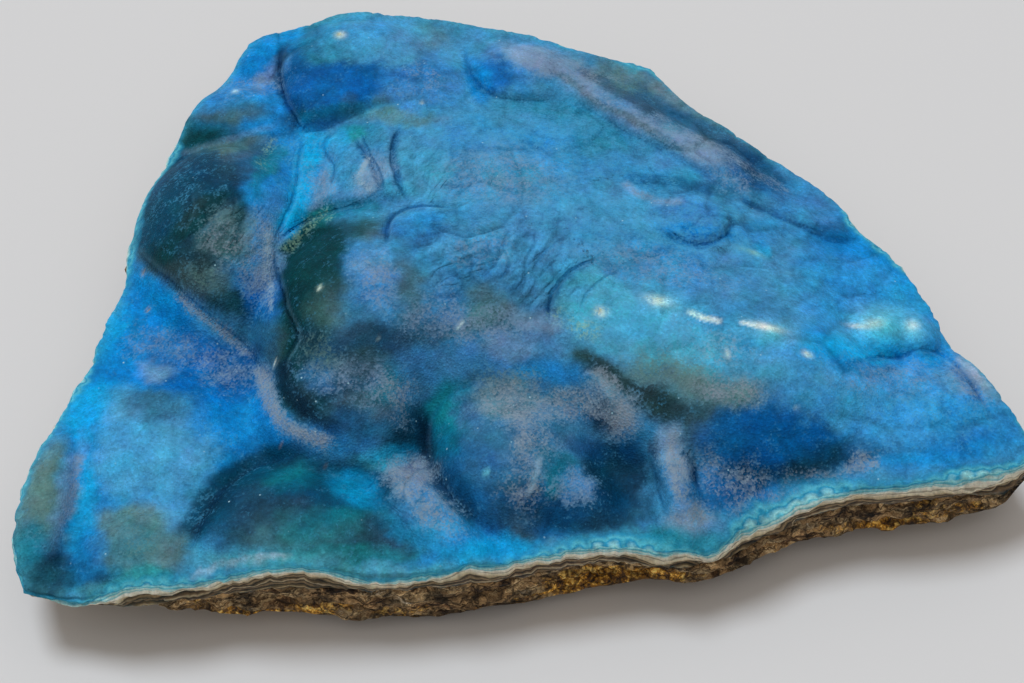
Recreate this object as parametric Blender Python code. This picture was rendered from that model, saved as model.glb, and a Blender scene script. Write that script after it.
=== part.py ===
"""Raw hemimorphite: a blue crust of rounded lobes on a thin slab of brown layered rock.

Run with blender --background --python part.py, or from Blender's text editor.
Sizes are in millimetres until a mesh is made. The plan has +X to the right along the broken front
edge and +Y to the back. PLAN_MIDDLE is the middle of its outline and comes to lie on the origin.
"""
import bmesh
import bpy
import numpy as np

COLLECTION_NAME = "Raw hemimorphite"
CUTTERS_NAME = "Parting blocks"
MM = 0.001

# Plan points of the relief were read on one level plane, as seen from this eye point
EYE = np.array([0.0, -184.7, 254.4])
READING_LEVEL = 18.0
PLAN_MIDDLE = np.array([2.75, 17.54])

# How softly lobes and ground run together, the share of a fold over which its end fades in,
# and how the two layers meet
SOFTNESS = 0.9
FOLD_ENDS = 0.18
CRUST_DEPTH = 3.5
PARTING_CAP = 11.4
LAYER_GAP = 0.4
PARTING_REACH = 95.0
BLOCK_BOTTOM = -20.0
BLOCK_TOP = 60.0

# Grid of the slab that each layer is cut from, rows down its broken edge, and grid of the parting blocks
CRUST_GRID = (52, 44)
ROCK_GRID = (28, 24)
WALL_ROWS = 6
PARTING_CELLS = 16

# The underside is flat in the middle and rises to the rim beyond this share of the way out
FOOT_SHARE = 0.2
HALF_SPAN = 68.0
LEDGE_DEPTH = 0.55
JUT_START = 0.3
JUT_SPAN = 0.35

# Outline of the top edge, one side at a time: the broken front, then the east, north and west sides
FRONT = [(-69.2, -39.8), (-63, -41), (-57, -41.3), (-51, -40.7), (-44, -39.6), (-36, -38.8), (-28, -38.8),
         (-20, -39), (-12, -38.5), (-4, -37.5), (4, -36), (10, -34.7), (18, -34.2), (25, -34.4), (31, -32.6),
         (37, -29.6), (43, -26.6), (50, -24.9), (58, -24.2), (66, -23.2), (73, -21.2), (77.5, -17.5)]
EAST = [(77.5, -17.5), (75.3, -11.8), (73, -6.8), (70.6, -0.8), (67.4, 4.2), (66, 10.2), (63, 17.3),
        (60.6, 22), (56.6, 26.4), (54, 32.4), (50.5, 37.4), (45.5, 41.5), (40.5, 46.4), (35.3, 51.4),
        (30.5, 55.2), (27, 60), (24, 65)]
NORTH = [(-46, 69.6), (-42, 72.3), (-36, 73.6), (-31, 75.8), (-26, 76.4), (-18, 75.6), (-9, 74.3), (-4, 73.2),
         (2, 72), (9, 69), (16, 66.5), (24, 65)]
WEST = [(-69.2, -39.8), (-71.2, -34.5), (-72, -28), (-71.2, -20), (-69.5, -13), (-67.2, -5), (-65, 2),
        (-63.8, 8), (-61.5, 15), (-61.4, 22), (-60.2, 30), (-58, 38), (-55.8, 46), (-52.8, 53),
        (-49.4, 60), (-47.3, 65), (-46, 69.6)]

# Ground between the lobes: plan x, plan y, height
GROUND = [
    (-67, -44, 11), (-60, -45, 11), (-50, -44, 12), (-38, -41, 13.5), (-25, -40, 14.2), (-12, -40, 13.8),
    (0, -39, 13.5), (12, -36.5, 14), (20, -37.5, 12.8), (27, -38.5, 11.6), (35, -35, 12.3), (42, -29.5, 13.6),
    (50, -26, 14.5), (62, -24, 14.5), (73, -24, 12.5), (-70, -28, 11), (-67, -14, 11), (-63, 0, 11.5),
    (-61, 14, 12.2), (-59, 28, 14), (-55, 44, 13.5), (-48, 57, 14), (-44, 68, 13.5), (-28, 72, 15),
    (-10, 70, 14.5), (5, 66, 14), (22, 60.5, 12.5), (31, 49, 12.5), (43, 37, 12.2), (53, 26, 12.2),
    (61, 14, 12.5), (66, 1, 12.3), (72, -11, 12), (77, -20, 11.5), (-43, -24, 11.6), (-40, -10, 11.8),
    (-52, 3, 12), (-33, -18, 12.4), (-22, -20, 12.8), (-13, -18, 12.8), (-14, -26, 13.5), (-62, -30, 11.6),
    (-44, -34, 12), (-57, 17, 12.6), (-38, 2, 13.5), (-36, 14, 15.4), (-36, 26, 16.2), (-36, 38, 15.8),
    (-45, 44, 14.8), (-34, 46, 15), (-30, 36, 17.5), (-24, 33, 20), (-18, 40, 21), (-8, 30, 23.5),
    (-5, 46, 20.5), (8, 40, 21), (8, 28, 24), (18, 20, 24.6), (20, 36, 19.5), (30, 12, 24), (36, 24, 18.6),
    (43, 14, 19.6), (48, 4, 19.6), (33, 34, 16.5), (54, 14, 15.4), (-12, 58, 16.5), (12, 54, 16.5),
    (18, 58, 14), (-3, 50, 18.4), (-14, 4, 24.2), (0, 8, 25.2), (6, 16, 25.6), (-16, -10, 16), (-2, -2, 22.5),
    (8, -10, 18.5), (14, -22, 14.5), (20, -8, 20.5), (32, -16, 17), (42, -14, 17.4), (36, -25, 13.8),
    (18, -31, 13.8), (-4, -32, 13.8), (52, -5, 15.5), (-28, -2, 20)]

# Rounded lobes: plan x, plan y, half length, half width, turn in degrees, crown height, drop at the rim
LOBES = {
    "north-west knob": (-41, 63, 6, 6.5, 0, 16.8, 3.5),
    "north dome": (-27, 64.5, 14, 12, 0, 20.6, 6),
    "north dome, lower lobe": (-30, 54.5, 12, 8.5, 15, 19.2, 4.5),
    "north dome, right lobe": (-15, 57, 10, 9, 0, 20, 4.5),
    "north-east dome": (2, 60, 10, 9, 0, 19.6, 5),
    "back ridge": (22, 46.5, 27, 5.5, -37, 18.6, 4),
    "west shoulder": (-46, 50, 11, 9, 10, 18.2, 5),
    "west dome": (-47, 30, 13, 17, 8, 23.6, 7),
    "nose": (-22, 14, 14.5, 15, 0, 27.2, 7),
    "chin": (-25, -6, 11.5, 11, -20, 21.2, 5),
    "side facet": (-35, 2, 4, 5.5, 10, 16.5, 3),
    "eye lobe": (-8, 19, 14, 11, -10, 26.4, 3.5),
    "main ridge": (26, 4, 27, 15, -13, 26.8, 6.5),
    "front lobe": (1, -18, 12, 12, 20, 21, 6.5),
    "small front lobe": (9.5, -27, 6, 5.5, 30, 17.2, 3.5),
    "front rib": (23.5, -25, 9.5, 4, 97, 17.4, 3.5),
    "lobe beside the rib": (31, -26, 6, 7.5, 10, 16.2, 3),
    "south-east slope": (56, -13, 22, 12, -5, 17.4, 3.6),
    "east knob": (55, 3, 4.6, 4.6, 0, 18.4, 2.6),
    "outer east knob": (61.2, 3, 4, 4.6, 0, 17, 2.6),
    "east rim strip": (69.5, -8, 8.5, 3.6, -62, 15, 2.6),
    "oval lobe": (29, 26, 8.5, 6.4, -15, 21.8, 3.4),
    "basin, upper lobe": (-52, -17, 12, 12, 0, 14.6, 2.6),
    "basin, lower lobe": (-52, -37, 9.5, 8, 0, 14.8, 3.2),
    "basin dome": (-31, -32, 15, 10.5, 0, 17.2, 4.5),
    "left rim": (-67, -28, 4.6, 14, -4, 14.2, 3),
    "saddle": (-12, -30, 12, 5.5, -48, 16.8, 3.6)}

# Folds: rise on the left of the line's run, sink on its right, width, fade of the rise, plan points
FOLDS = {
    "foot of the west dome": (1.3, 0.8, 2.2, 9, [
        (-60, 20), (-57.5, 16.5), (-53, 12), (-49, 8), (-44, 3), (-40, -1), (-36.5, -5.5),
        (-34.5, -10), (-30.5, -14), (-25, -19)]),
    "flank of the nose": (1.2, 0.8, 2.0, 8, [
        (-19, 29), (-27, 27), (-33, 24), (-36.8, 19.5), (-36, 12), (-34, 5), (-32.3, 0.5),
        (-34.2, -5), (-33, -10)]),
    "foot of the north dome": (1.2, 0.8, 1.9, 7, [
        (-38.5, 66), (-39.4, 60), (-38.5, 54), (-36.5, 48.5), (-34.5, 45.2), (-30.5, 46.2),
        (-26, 48.8), (-21, 50.5)]),
    "side of the front lobe": (1.2, 0.7, 2.0, 7, [
        (0, -7), (-6, -8), (-10.5, -11.5), (-12.2, -17), (-11.5, -23), (-8, -29), (-3, -34), (1, -38)]),
    "east scarp": (1.0, 0.6, 1.5, 6, [
        (71, -15), (69.5, -11), (67.5, -6), (64.5, -2.4), (61, -1.6), (58.5, -3.2), (55, -3), (51.5, -4)]),
    "under the back ridge": (0.8, 0.5, 1.6, 5, [
        (6, 51), (12, 50), (18, 45), (24, 40.5), (30, 35.5), (35, 31.5), (40, 28)])}

# Rim of the underside: plan x, plan y, height, how far the rock juts out below the crust
RIM = [
    (-69.2, -40, 9.0, -0.6), (-61, -41.3, 8.8, -0.6), (-53, -41, 8.4, -0.4), (-46, -40, 6.0, -0.2),
    (-38.5, -39, 3.4, 0.5), (-28, -39, 2.9, 0.9), (-14, -38.7, 2.2, 1.0), (-7, -38, 2.2, 1.0),
    (0, -37, 2.8, 0.8), (7, -35.4, 2.4, 0.9), (14, -34.5, 3.7, 0.7), (21, -34.3, 4.8, 0.0),
    (29, -33.4, 4.2, 0.0), (38, -29, 3.8, 0.1), (50, -25, 3.6, 0.3), (62, -23.8, 4.2, 0.0),
    (72, -21.5, 5.0, -0.2), (77.5, -17.5, 6.2, -0.4), (70.6, -0.8, 5.6, -0.6), (60.6, 22, 5.4, -0.5),
    (45.5, 41.5, 5.4, -0.6), (24, 65, 6.2, -0.5), (0, 73, 6.0, -0.6), (-26, 76.4, 5.4, -0.5),
    (-46, 69.6, 6.2, -0.6), (-60.2, 30, 5.4, -0.6), (-63.8, 8, 6.0, -0.5), (-71.2, -20, 7.0, -0.5),
    (-71.4, -34, 8.4, -0.6)]

MATERIALS = {
    "blue_hemimorphite": ((0.045, 0.285, 0.52), 0.42),
    "brown_matrix": ((0.105, 0.070, 0.036), 0.88)}


def sight(plan, height):
    """Moves plan points along the line of sight from the reading level to a height."""
    share = (EYE[2] - height) / (EYE[2] - READING_LEVEL)
    return EYE[:2] + (plan - EYE[:2]) * np.asarray(share)[..., None]


def ease(value):
    """An even step from 0 to 1."""
    value = np.clip(value, 0, 1)
    return value ** 2 * (3 - 2 * value)


def thin_plate(points, heights, slack=20.0):
    """Returns the height function of a thin plate bent through the points, by the r^2 log r spline."""
    def bend(at):
        square = ((at[:, None] - points[None]) ** 2).sum(-1)
        return 0.5 * square * np.log(np.maximum(square, 1e-9))

    count = len(points)
    tilt = np.column_stack([np.ones(count), points])
    system = np.block([[bend(points) + slack * np.eye(count), tilt], [tilt.T, np.zeros((3, 3))]])
    weights = np.linalg.solve(system, np.append(heights, [0, 0, 0]))

    def height(at):
        return bend(at) @ weights[:count] + weights[count] + at @ weights[count + 1:]

    return height


def smooth_line(points, share):
    """Points at the given shares of the length of a Catmull-Rom line through the points."""
    knots = np.array(points, float)
    knots = np.vstack([2 * knots[0] - knots[1], knots, 2 * knots[-1] - knots[-2]])
    spans = len(points) - 1
    place = np.linspace(0, spans, 24 * spans + 1)
    index = np.minimum(place.astype(int), spans - 1)
    part = (place - index)[:, None]
    a, b, c, d = knots[index], knots[index + 1], knots[index + 2], knots[index + 3]
    bend, twist = a - 2.5 * b + 2 * c - 0.5 * d, 1.5 * (b - c) + 0.5 * (d - a)
    line = b + part * (c - a) / 2 + part ** 2 * bend + part ** 3 * twist
    run = np.append(0, np.cumsum(np.linalg.norm(np.diff(line, axis=0), axis=1)))
    return np.column_stack([np.interp(share * run[-1], run, line[:, axis]) for axis in (0, 1)])


def plan(u, v):
    """Plan points between the four sides of the outline (a Coons patch), for u and v from 0 to 1."""
    front, north = smooth_line(FRONT, u), smooth_line(NORTH, u)
    west, east = smooth_line(WEST, v), smooth_line(EAST, v)
    u, v = u[:, None], v[:, None]
    south_west, south_east, north_west, north_east = map(np.array, (FRONT[0], FRONT[-1], NORTH[0], NORTH[-1]))
    corners = ((1 - u) * (1 - v) * south_west + u * (1 - v) * south_east
               + (1 - u) * v * north_west + u * v * north_east)
    return (1 - v) * front + v * north + (1 - u) * west + u * east - corners


def lobe_height(at, x, y, half_length, half_width, turn, crown, drop):
    """A cushion: the crown height less a drop that grows with the distance from the middle."""
    away = at - sight(np.array([x, y]), crown)
    cos, sin = np.cos(np.radians(turn)), np.sin(np.radians(turn))
    length = (away[:, 0] * cos + away[:, 1] * sin) / half_length
    width = (away[:, 1] * cos - away[:, 0] * sin) / half_width
    reach = np.minimum(length ** 2 + width ** 2, 6.0)
    return crown - drop * (0.7 * reach + 0.3 * reach ** 2)


def body_height(at, ground):
    """Ground and lobes as one rounded surface: a soft maximum of them all."""
    layers = np.array([ground(at)] + [lobe_height(at, *lobe) for lobe in LOBES.values()])
    top = layers.max(axis=0)
    return top + SOFTNESS * np.log(np.exp((layers - top) / SOFTNESS).sum(axis=0))


def fold_height(at, ground, rise, sink, width, fade, points):
    """A step along a line: a swell that fades away on the line's left, a groove on its right."""
    seen = np.array(points, float)
    line = seen
    for _ in range(5):
        line = sight(seen, body_height(line, ground))
    line = smooth_line(line, np.linspace(0, 1, 24))
    start, step = line[:-1], np.diff(line, axis=0)
    away = at[:, None] - start[None]
    share = np.clip((away * step).sum(-1) / (step ** 2).sum(-1), 0, 1)
    gap = np.linalg.norm(away - share[..., None] * step, axis=-1)
    near = gap.argmin(axis=1)
    pick = np.arange(len(at))
    distance, offset, run = gap[pick, near], away[pick, near], step[near]
    left = run[:, 0] * offset[:, 1] - run[:, 1] * offset[:, 0] >= 0
    place = (near + share[pick, near]) / len(step)
    ends = np.minimum(place, 1 - place) / FOLD_ENDS
    swell = rise * (1 - np.exp(-distance / width)) * np.exp(-(distance / fade) ** 2)
    groove = -sink * np.exp(-distance / (2 * width))
    return ease(ends) * np.where(left, swell + groove * np.exp(-distance / width), groove)


def top_height(at, ground):
    """Height of the crust's upper side."""
    folds = [fold_height(at, ground, *fold) for fold in FOLDS.values()]
    return body_height(at, ground) + np.sum(folds, axis=0)


def rim_shape(at):
    """Height and jut of the underside at the rim: the mean of RIM, weighted by nearness."""
    rim = np.array(RIM, float)
    weight = 1 / (((at[:, None] - rim[None, :, :2]) ** 2).sum(-1) + 4.0) ** 2
    return (weight @ rim[:, 2:] / weight.sum(axis=1)[:, None]).T


def slab_points(ground, u, v, depth):
    """Points of the slab: depth runs from 0 on the upper side, down the edge, to 1 on the underside."""
    out = 1 - (1 - np.abs(2 * u - 1) ** 3) * (1 - np.abs(2 * v - 1) ** 3)
    way = np.arctan2(2 * v - 1, 2 * u - 1)
    ledge = np.sin(31 * way + 9 * depth) * np.sin(13 * way - 5 * depth) + 0.6 * np.sin(25 * depth)
    edge = plan(u, v)
    rim, jut = rim_shape(edge)
    ledges = LEDGE_DEPTH * ledge * 4 * depth * (1 - depth)
    shift = (jut * ease((depth - JUT_START) / JUT_SPAN) + ledges) / HALF_SPAN
    at = plan(0.5 + (u - 0.5) * (1 + shift), 0.5 + (v - 0.5) * (1 + shift))
    under = rim * ease((out - FOOT_SHARE) / (1 - FOOT_SHARE))
    top = top_height(edge, ground)
    return np.column_stack([at - PLAN_MIDDLE, top + depth * (under - top)])


def move_vertices(bm, points):
    """Puts the vertices at the points, given in millimetres."""
    for vertex, point in zip(bm.verts, points):
        vertex.co = point * MM


def new_mesh(name, bm):
    """Turns the faces outward, splits those that could bend, and makes the bmesh a mesh."""
    bmesh.ops.recalc_face_normals(bm, faces=bm.faces)
    bent = [face for face in bm.faces if len(face.verts) == 4]
    bmesh.ops.triangulate(bm, faces=bent, quad_method="FIXED")
    mesh = bpy.data.meshes.new(name)
    bm.to_mesh(mesh)
    bm.free()
    return mesh


def slab_mesh(ground, columns, rows):
    """The whole slab, crust and rock: a grid, extruded to an underside, with ledges on the broken edge."""
    bm = bmesh.new()
    bmesh.ops.create_grid(bm, x_segments=columns, y_segments=rows, size=0.5)
    lower = bmesh.ops.extrude_face_region(bm, geom=bm.faces[:])["geom"]
    for vertex in [item for item in lower if isinstance(item, bmesh.types.BMVert)]:
        vertex.co.z = 1.0
    upright = [edge for edge in bm.edges if edge.verts[0].co.z != edge.verts[1].co.z]
    bmesh.ops.subdivide_edges(bm, edges=upright, cuts=WALL_ROWS - 1, use_grid_fill=True)
    place = np.array([vertex.co for vertex in bm.verts])
    move_vertices(bm, slab_points(ground, place[:, 0] + 0.5, place[:, 1] + 0.5, place[:, 2]))
    foot = [face for face in bm.faces if max(vertex.co.z for vertex in face.verts) < 1e-7]
    bmesh.ops.dissolve_faces(bm, faces=foot)
    return new_mesh("slab", bm)


def parting_block(name, ground, lift, far_side, collection):
    """A block that cuts a layer off: the parting surface, raised by lift, and a flat far side."""
    bm = bmesh.new()
    bmesh.ops.create_grid(bm, x_segments=PARTING_CELLS, y_segments=PARTING_CELLS, size=PARTING_REACH)
    lower = bmesh.ops.extrude_face_region(bm, geom=bm.faces[:])["geom"]
    for vertex in [item for item in lower if isinstance(item, bmesh.types.BMVert)]:
        vertex.co.z = 1.0
    place = np.array([vertex.co for vertex in bm.verts])
    depth = ground(place[:, :2] + PLAN_MIDDLE) - CRUST_DEPTH
    parting = depth - np.log1p(np.exp(depth - PARTING_CAP)) + lift
    move_vertices(bm, np.column_stack([place[:, :2], np.where(place[:, 2] > 0, far_side, parting)]))
    block = bpy.data.objects.new(name, new_mesh(name, bm))
    block.display_type = "WIRE"
    block.hide_render = True
    collection.objects.link(block)
    return block


def new_material(name):
    """A plain surface in the layer's own colour."""
    colour, roughness = MATERIALS[name]
    material = bpy.data.materials.new(name)
    material.use_nodes = True
    shader = material.node_tree.nodes["Principled BSDF"]
    shader.inputs["Base Color"].default_value = (*colour, 1.0)
    shader.inputs["Roughness"].default_value = roughness
    shader.inputs["Metallic"].default_value = 0.0
    material.diffuse_color = (*colour, 1.0)
    return material


def add_layer(name, slab, block, material, collection):
    """One layer: the whole slab less the block that covers the other layer."""
    layer = bpy.data.objects.new(name, slab)
    layer.data.materials.append(material)
    collection.objects.link(layer)
    cut = layer.modifiers.new("Parting", "BOOLEAN")
    cut.operation = "DIFFERENCE"
    cut.solver = "EXACT"
    cut.object = block
    return layer


def main():
    for item in list(bpy.data.objects):
        bpy.data.objects.remove(item, do_unlink=True)
    parts = bpy.data.collections.new(COLLECTION_NAME)
    cutters = bpy.data.collections.new(CUTTERS_NAME)
    for collection in (parts, cutters):
        bpy.context.scene.collection.children.link(collection)

    spots = np.array(GROUND, float)
    ground = thin_plate(sight(spots[:, :2], spots[:, 2]), spots[:, 2])
    below = parting_block("block_below_crust", ground, 0.0, BLOCK_BOTTOM, cutters)
    above = parting_block("block_above_matrix", ground, -LAYER_GAP, BLOCK_TOP, cutters)
    crust = slab_mesh(ground, *CRUST_GRID)
    rock = slab_mesh(ground, *ROCK_GRID)
    add_layer("hemimorphite_crust", crust, below, new_material("blue_hemimorphite"), parts)
    add_layer("matrix_rock", rock, above, new_material("brown_matrix"), parts)


main()
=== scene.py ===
"""Raw hemimorphite, dressed for a render: a frosted blue crust of rounded lobes on laminated brown matrix.

Lengths are in millimetres until a mesh is made. The plan has +X to the right along the broken front
edge and +Y to the back; PLAN_MIDDLE is the middle of its outline and lies on the row's origin.
"""
import math

import bpy
import numpy as np
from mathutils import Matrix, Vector


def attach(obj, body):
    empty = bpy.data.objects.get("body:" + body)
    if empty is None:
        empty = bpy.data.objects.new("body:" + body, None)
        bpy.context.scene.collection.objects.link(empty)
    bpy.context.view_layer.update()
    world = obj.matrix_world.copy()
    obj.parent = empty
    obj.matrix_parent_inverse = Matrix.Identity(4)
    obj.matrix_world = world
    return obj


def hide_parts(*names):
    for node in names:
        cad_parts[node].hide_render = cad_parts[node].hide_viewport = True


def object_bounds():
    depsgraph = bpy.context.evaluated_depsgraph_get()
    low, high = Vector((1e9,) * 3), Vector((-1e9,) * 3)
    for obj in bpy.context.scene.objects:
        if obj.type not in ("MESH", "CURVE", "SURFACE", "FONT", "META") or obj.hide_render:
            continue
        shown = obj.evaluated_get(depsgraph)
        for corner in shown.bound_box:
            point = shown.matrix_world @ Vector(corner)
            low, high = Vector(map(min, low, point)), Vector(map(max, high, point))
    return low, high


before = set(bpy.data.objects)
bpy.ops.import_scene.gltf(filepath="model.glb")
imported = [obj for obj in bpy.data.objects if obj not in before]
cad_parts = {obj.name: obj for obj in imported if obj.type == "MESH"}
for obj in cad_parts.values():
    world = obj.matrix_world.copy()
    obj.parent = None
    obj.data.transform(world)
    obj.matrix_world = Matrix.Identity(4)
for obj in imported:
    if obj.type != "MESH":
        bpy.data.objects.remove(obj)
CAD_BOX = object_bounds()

bl_info = {
    "name": "Raw hemimorphite",
    "version": (1, 0, 0),
    "blender": (4, 5, 0),
    "location": "3D View > Sidebar > Hemimorphite",
    "description": "Builds a frosted blue hemimorphite crust on its brown matrix, with a plain stage",
    "category": "Add Mesh"}

MM = 0.001

# Plan points of the relief were read on one level plane, as seen from this eye point
EYE = np.array([0.0, -184.7, 254.4])
READING_LEVEL = 18.0
PLAN_MIDDLE = np.array([2.75, 17.54])

# Numbers of the shape that the CAD has too: how softly lobes run together, the share of a fold's length over
# which it fades out, the height where the parting of crust and rock levels off, the flat share of the
# underside, half the width of the outline, and the depth of the ledges and the place of the jut on the edge
SOFTNESS = 0.9
FOLD_ENDS = 0.18
PARTING_CAP = 11.4
FOOT_SHARE = 0.2
HALF_SPAN = 68.0
LEDGE_DEPTH = 0.55
JUT_START = 0.3
JUT_SPAN = 0.35

# Finer relief of the crust in millimetres: how much narrower its folds are than in the CAD, width and rise of
# the low cushions of the plateau and width of the grooves between them, and half width of a crinkle's crease
# as a share of its wave
FINER_FOLDS = 0.7
CUSHION_SIZE = 8.0
CUSHION_RISE = 0.36
CUSHION_GROOVE = 0.7
CREASE_LINE = 0.13

# Colour of the crust: how far a patch's edge runs out, how far from a crack it is still drawn, the middle
# brightness and the power by which dark and light are drawn apart, the share of each colour that the painted
# shade in a crease leaves, and how much the clear crystals take from the red and add to the blue
PATCH_BLUR = 3.0
CRACK_REACH = 1.0
MIDDLE_TONE = 0.27
TONE_POWER = 0.22
CREASE_SHADE = np.array([0.40, 0.66, 0.80])
INNER_BLUE = (0.93, 1.0, 1.04)

# Colours of a painted glint on a crystal and of the painted highlight along the raised side of a crack, and
# the share of red, green and blue that the painted shade in a crack leaves
GLINT = "#A9D4E2"
LIP_HIGHLIGHT = "#86BEDA"
CRACK_SHADE = (0.08, 0.42, 0.58, 1.0)

# What the crust's mesh holds for its material, in the order in which the crust's operator works it out
CRUST_LAYERS = ("tint", "powder", "powder_amount", "crack_gap", "crack", "wrinkle_place", "wrinkle",
                "band_depth")

# How much of the patches' raggedness strokes get, and of that the spots
STROKE_WAVER = 0.35
SPOT_WAVER = 0.4

# Growth bands: depth of the table below, how far they turn over the rim at the front right, and how steeply
# they rise from the rim on the top, there and elsewhere
BAND_SPAN = 6.5
BAND_TURN = 0.75
BAND_SLOPES = (0.35, 0.55)

# A noise texture of scale 1 has spots of about this width, and its values lie mostly in this range
NOISE_SPOT = 0.55
NOISE_RANGE = {1: 0.3, 2: 0.7}

# Space in millimetres between the rock's top and the crust's lower side, and the u and v of the middle
PARTING_SPACE = 0.05
HALF_WAY = np.array([0.5])

# Stage, in metres and degrees: where the key light stands from the middle of the object, how the room's light
# falls off from its side to the other, half the floor's width, and the camera's distance, elevation and lens
KEY_FROM = (-0.25, 0.32, 0.91)
ROOM_FALL = {1: -0.6, 2: 0.9}
ROOM_SHARES = (0.45, 1.6)
FLOOR_HALF = 2.5
CAMERA_DISTANCE = 0.300
CAMERA_ELEVATION = 52
CAMERA_LENS = 70

# Outline of the top edge, one side at a time: the broken front, then the east, north and west sides
FRONT = [(-69.2, -39.8), (-63, -41), (-57, -41.3), (-51, -40.7), (-44, -39.6), (-36, -38.8), (-28, -38.8),
         (-20, -39), (-12, -38.5), (-4, -37.5), (4, -36), (10, -34.7), (18, -34.2), (25, -34.4), (31, -32.6),
         (37, -29.6), (43, -26.6), (50, -24.9), (58, -24.2), (66, -23.2), (73, -21.2), (77.5, -17.5)]
EAST = [(77.5, -17.5), (75.3, -11.8), (73, -6.8), (70.6, -0.8), (67.4, 4.2), (66, 10.2), (63, 17.3),
        (60.6, 22), (56.6, 26.4), (54, 32.4), (50.5, 37.4), (45.5, 41.5), (40.5, 46.4), (35.3, 51.4),
        (30.5, 55.2), (27, 60), (24, 65)]
NORTH = [(-46, 69.6), (-42, 72.3), (-36, 73.6), (-31, 75.8), (-26, 76.4), (-18, 75.6), (-9, 74.3), (-4, 73.2),
         (2, 72), (9, 69), (16, 66.5), (24, 65)]
WEST = [(-69.2, -39.8), (-71.2, -34.5), (-72, -28), (-71.2, -20), (-69.5, -13), (-67.2, -5), (-65, 2),
        (-63.8, 8), (-61.5, 15), (-61.4, 22), (-60.2, 30), (-58, 38), (-55.8, 46), (-52.8, 53),
        (-49.4, 60), (-47.3, 65), (-46, 69.6)]

# Ground between the lobes: plan x, plan y, height
GROUND = [
    (-67, -44, 11), (-60, -45, 11), (-50, -44, 12), (-38, -41, 13.5), (-25, -40, 14.2), (-12, -40, 13.8),
    (0, -39, 13.5), (12, -36.5, 14), (20, -37.5, 12.8), (27, -38.5, 11.6), (35, -35, 12.3), (42, -29.5, 13.6),
    (50, -26, 14.5), (62, -24, 14.5), (73, -24, 12.5), (-70, -28, 11), (-67, -14, 11), (-63, 0, 11.5),
    (-61, 14, 12.2), (-59, 28, 14), (-55, 44, 13.5), (-48, 57, 14), (-44, 68, 13.5), (-28, 72, 15),
    (-10, 70, 14.5), (5, 66, 14), (22, 60.5, 12.5), (31, 49, 12.5), (43, 37, 12.2), (53, 26, 12.2),
    (61, 14, 12.5), (66, 1, 12.3), (72, -11, 12), (77, -20, 11.5), (-43, -24, 11.6), (-40, -10, 11.8),
    (-52, 3, 12), (-33, -18, 12.4), (-22, -20, 12.8), (-13, -18, 12.8), (-14, -26, 13.5), (-62, -30, 11.6),
    (-44, -34, 12), (-57, 17, 12.6), (-38, 2, 13.5), (-36, 14, 15.4), (-36, 26, 16.2), (-36, 38, 15.8),
    (-45, 44, 14.8), (-34, 46, 15), (-30, 36, 17.5), (-24, 33, 20), (-18, 40, 21), (-8, 30, 23.5),
    (-5, 46, 20.5), (8, 40, 21), (8, 28, 24), (18, 20, 24.6), (20, 36, 19.5), (30, 12, 24), (36, 24, 18.6),
    (43, 14, 19.6), (48, 4, 19.6), (33, 34, 16.5), (54, 14, 15.4), (-12, 58, 16.5), (12, 54, 16.5),
    (18, 58, 14), (-3, 50, 18.4), (-14, 4, 24.2), (0, 8, 25.2), (6, 16, 25.6), (-16, -10, 16), (-2, -2, 22.5),
    (8, -10, 18.5), (14, -22, 14.5), (20, -8, 20.5), (32, -16, 17), (42, -14, 17.4), (36, -25, 13.8),
    (18, -31, 13.8), (-4, -32, 13.8), (52, -5, 15.5), (-28, -2, 20)]

# Rounded lobes: plan x, plan y, half length, half width, turn in degrees, crown height, drop at the rim
LOBES = {
    "north-west knob": (-41, 63, 6, 6.5, 0, 16.8, 3.5),
    "north dome": (-27, 64.5, 14, 12, 0, 20.6, 6),
    "north dome, lower lobe": (-30, 54.5, 12, 8.5, 15, 19.2, 4.5),
    "north dome, right lobe": (-15, 57, 10, 9, 0, 20, 4.5),
    "north-east dome": (2, 60, 10, 9, 0, 19.6, 5),
    "back ridge": (22, 46.5, 27, 6, -37, 18.2, 3.4),
    "west shoulder": (-46, 50, 11, 9, 10, 18.2, 5),
    "west dome": (-47, 30, 13, 17, 8, 23.6, 7),
    "nose": (-22, 14, 14.5, 15, 0, 27.2, 7),
    "chin": (-25, -6, 11.5, 11, -20, 21.2, 5),
    "side facet": (-35, 2, 4, 5.5, 10, 16.5, 3),
    "eye lobe": (-8, 19, 14, 11, -10, 26.4, 3.5),
    "main ridge": (26, 4, 27, 15, -13, 26.8, 6.5),
    "front lobe": (1, -18, 12, 12, 20, 21, 6.5),
    "small front lobe": (9.5, -27, 6, 5.5, 30, 17.2, 3.5),
    "front rib": (23.5, -25, 9.5, 4, 97, 17.4, 3.5),
    "lobe beside the rib": (31, -26, 6, 7.5, 10, 16.2, 3),
    "south-east slope": (56, -13, 22, 12, -5, 17.4, 3.6),
    "east knob": (55, 3, 4.6, 4.6, 0, 18.4, 2.6),
    "outer east knob": (61.2, 3, 4, 4.6, 0, 17, 2.6),
    "east rim strip": (69.5, -8, 8.5, 3.6, -62, 15, 2.6),
    "oval lobe": (29, 26, 8.5, 6.4, -15, 21.8, 3.4),
    "basin, upper lobe": (-52, -17, 12, 12, 0, 14.6, 2.6),
    "basin, lower lobe": (-52, -37, 9.5, 8, 0, 14.8, 3.2),
    "basin dome": (-31, -32, 15, 10.5, 0, 17.2, 4.5),
    "left rim": (-67, -28, 4.6, 14, -4, 14.2, 3),
    "saddle": (-12, -30, 12, 5.5, -48, 16.8, 3.6)}

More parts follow.
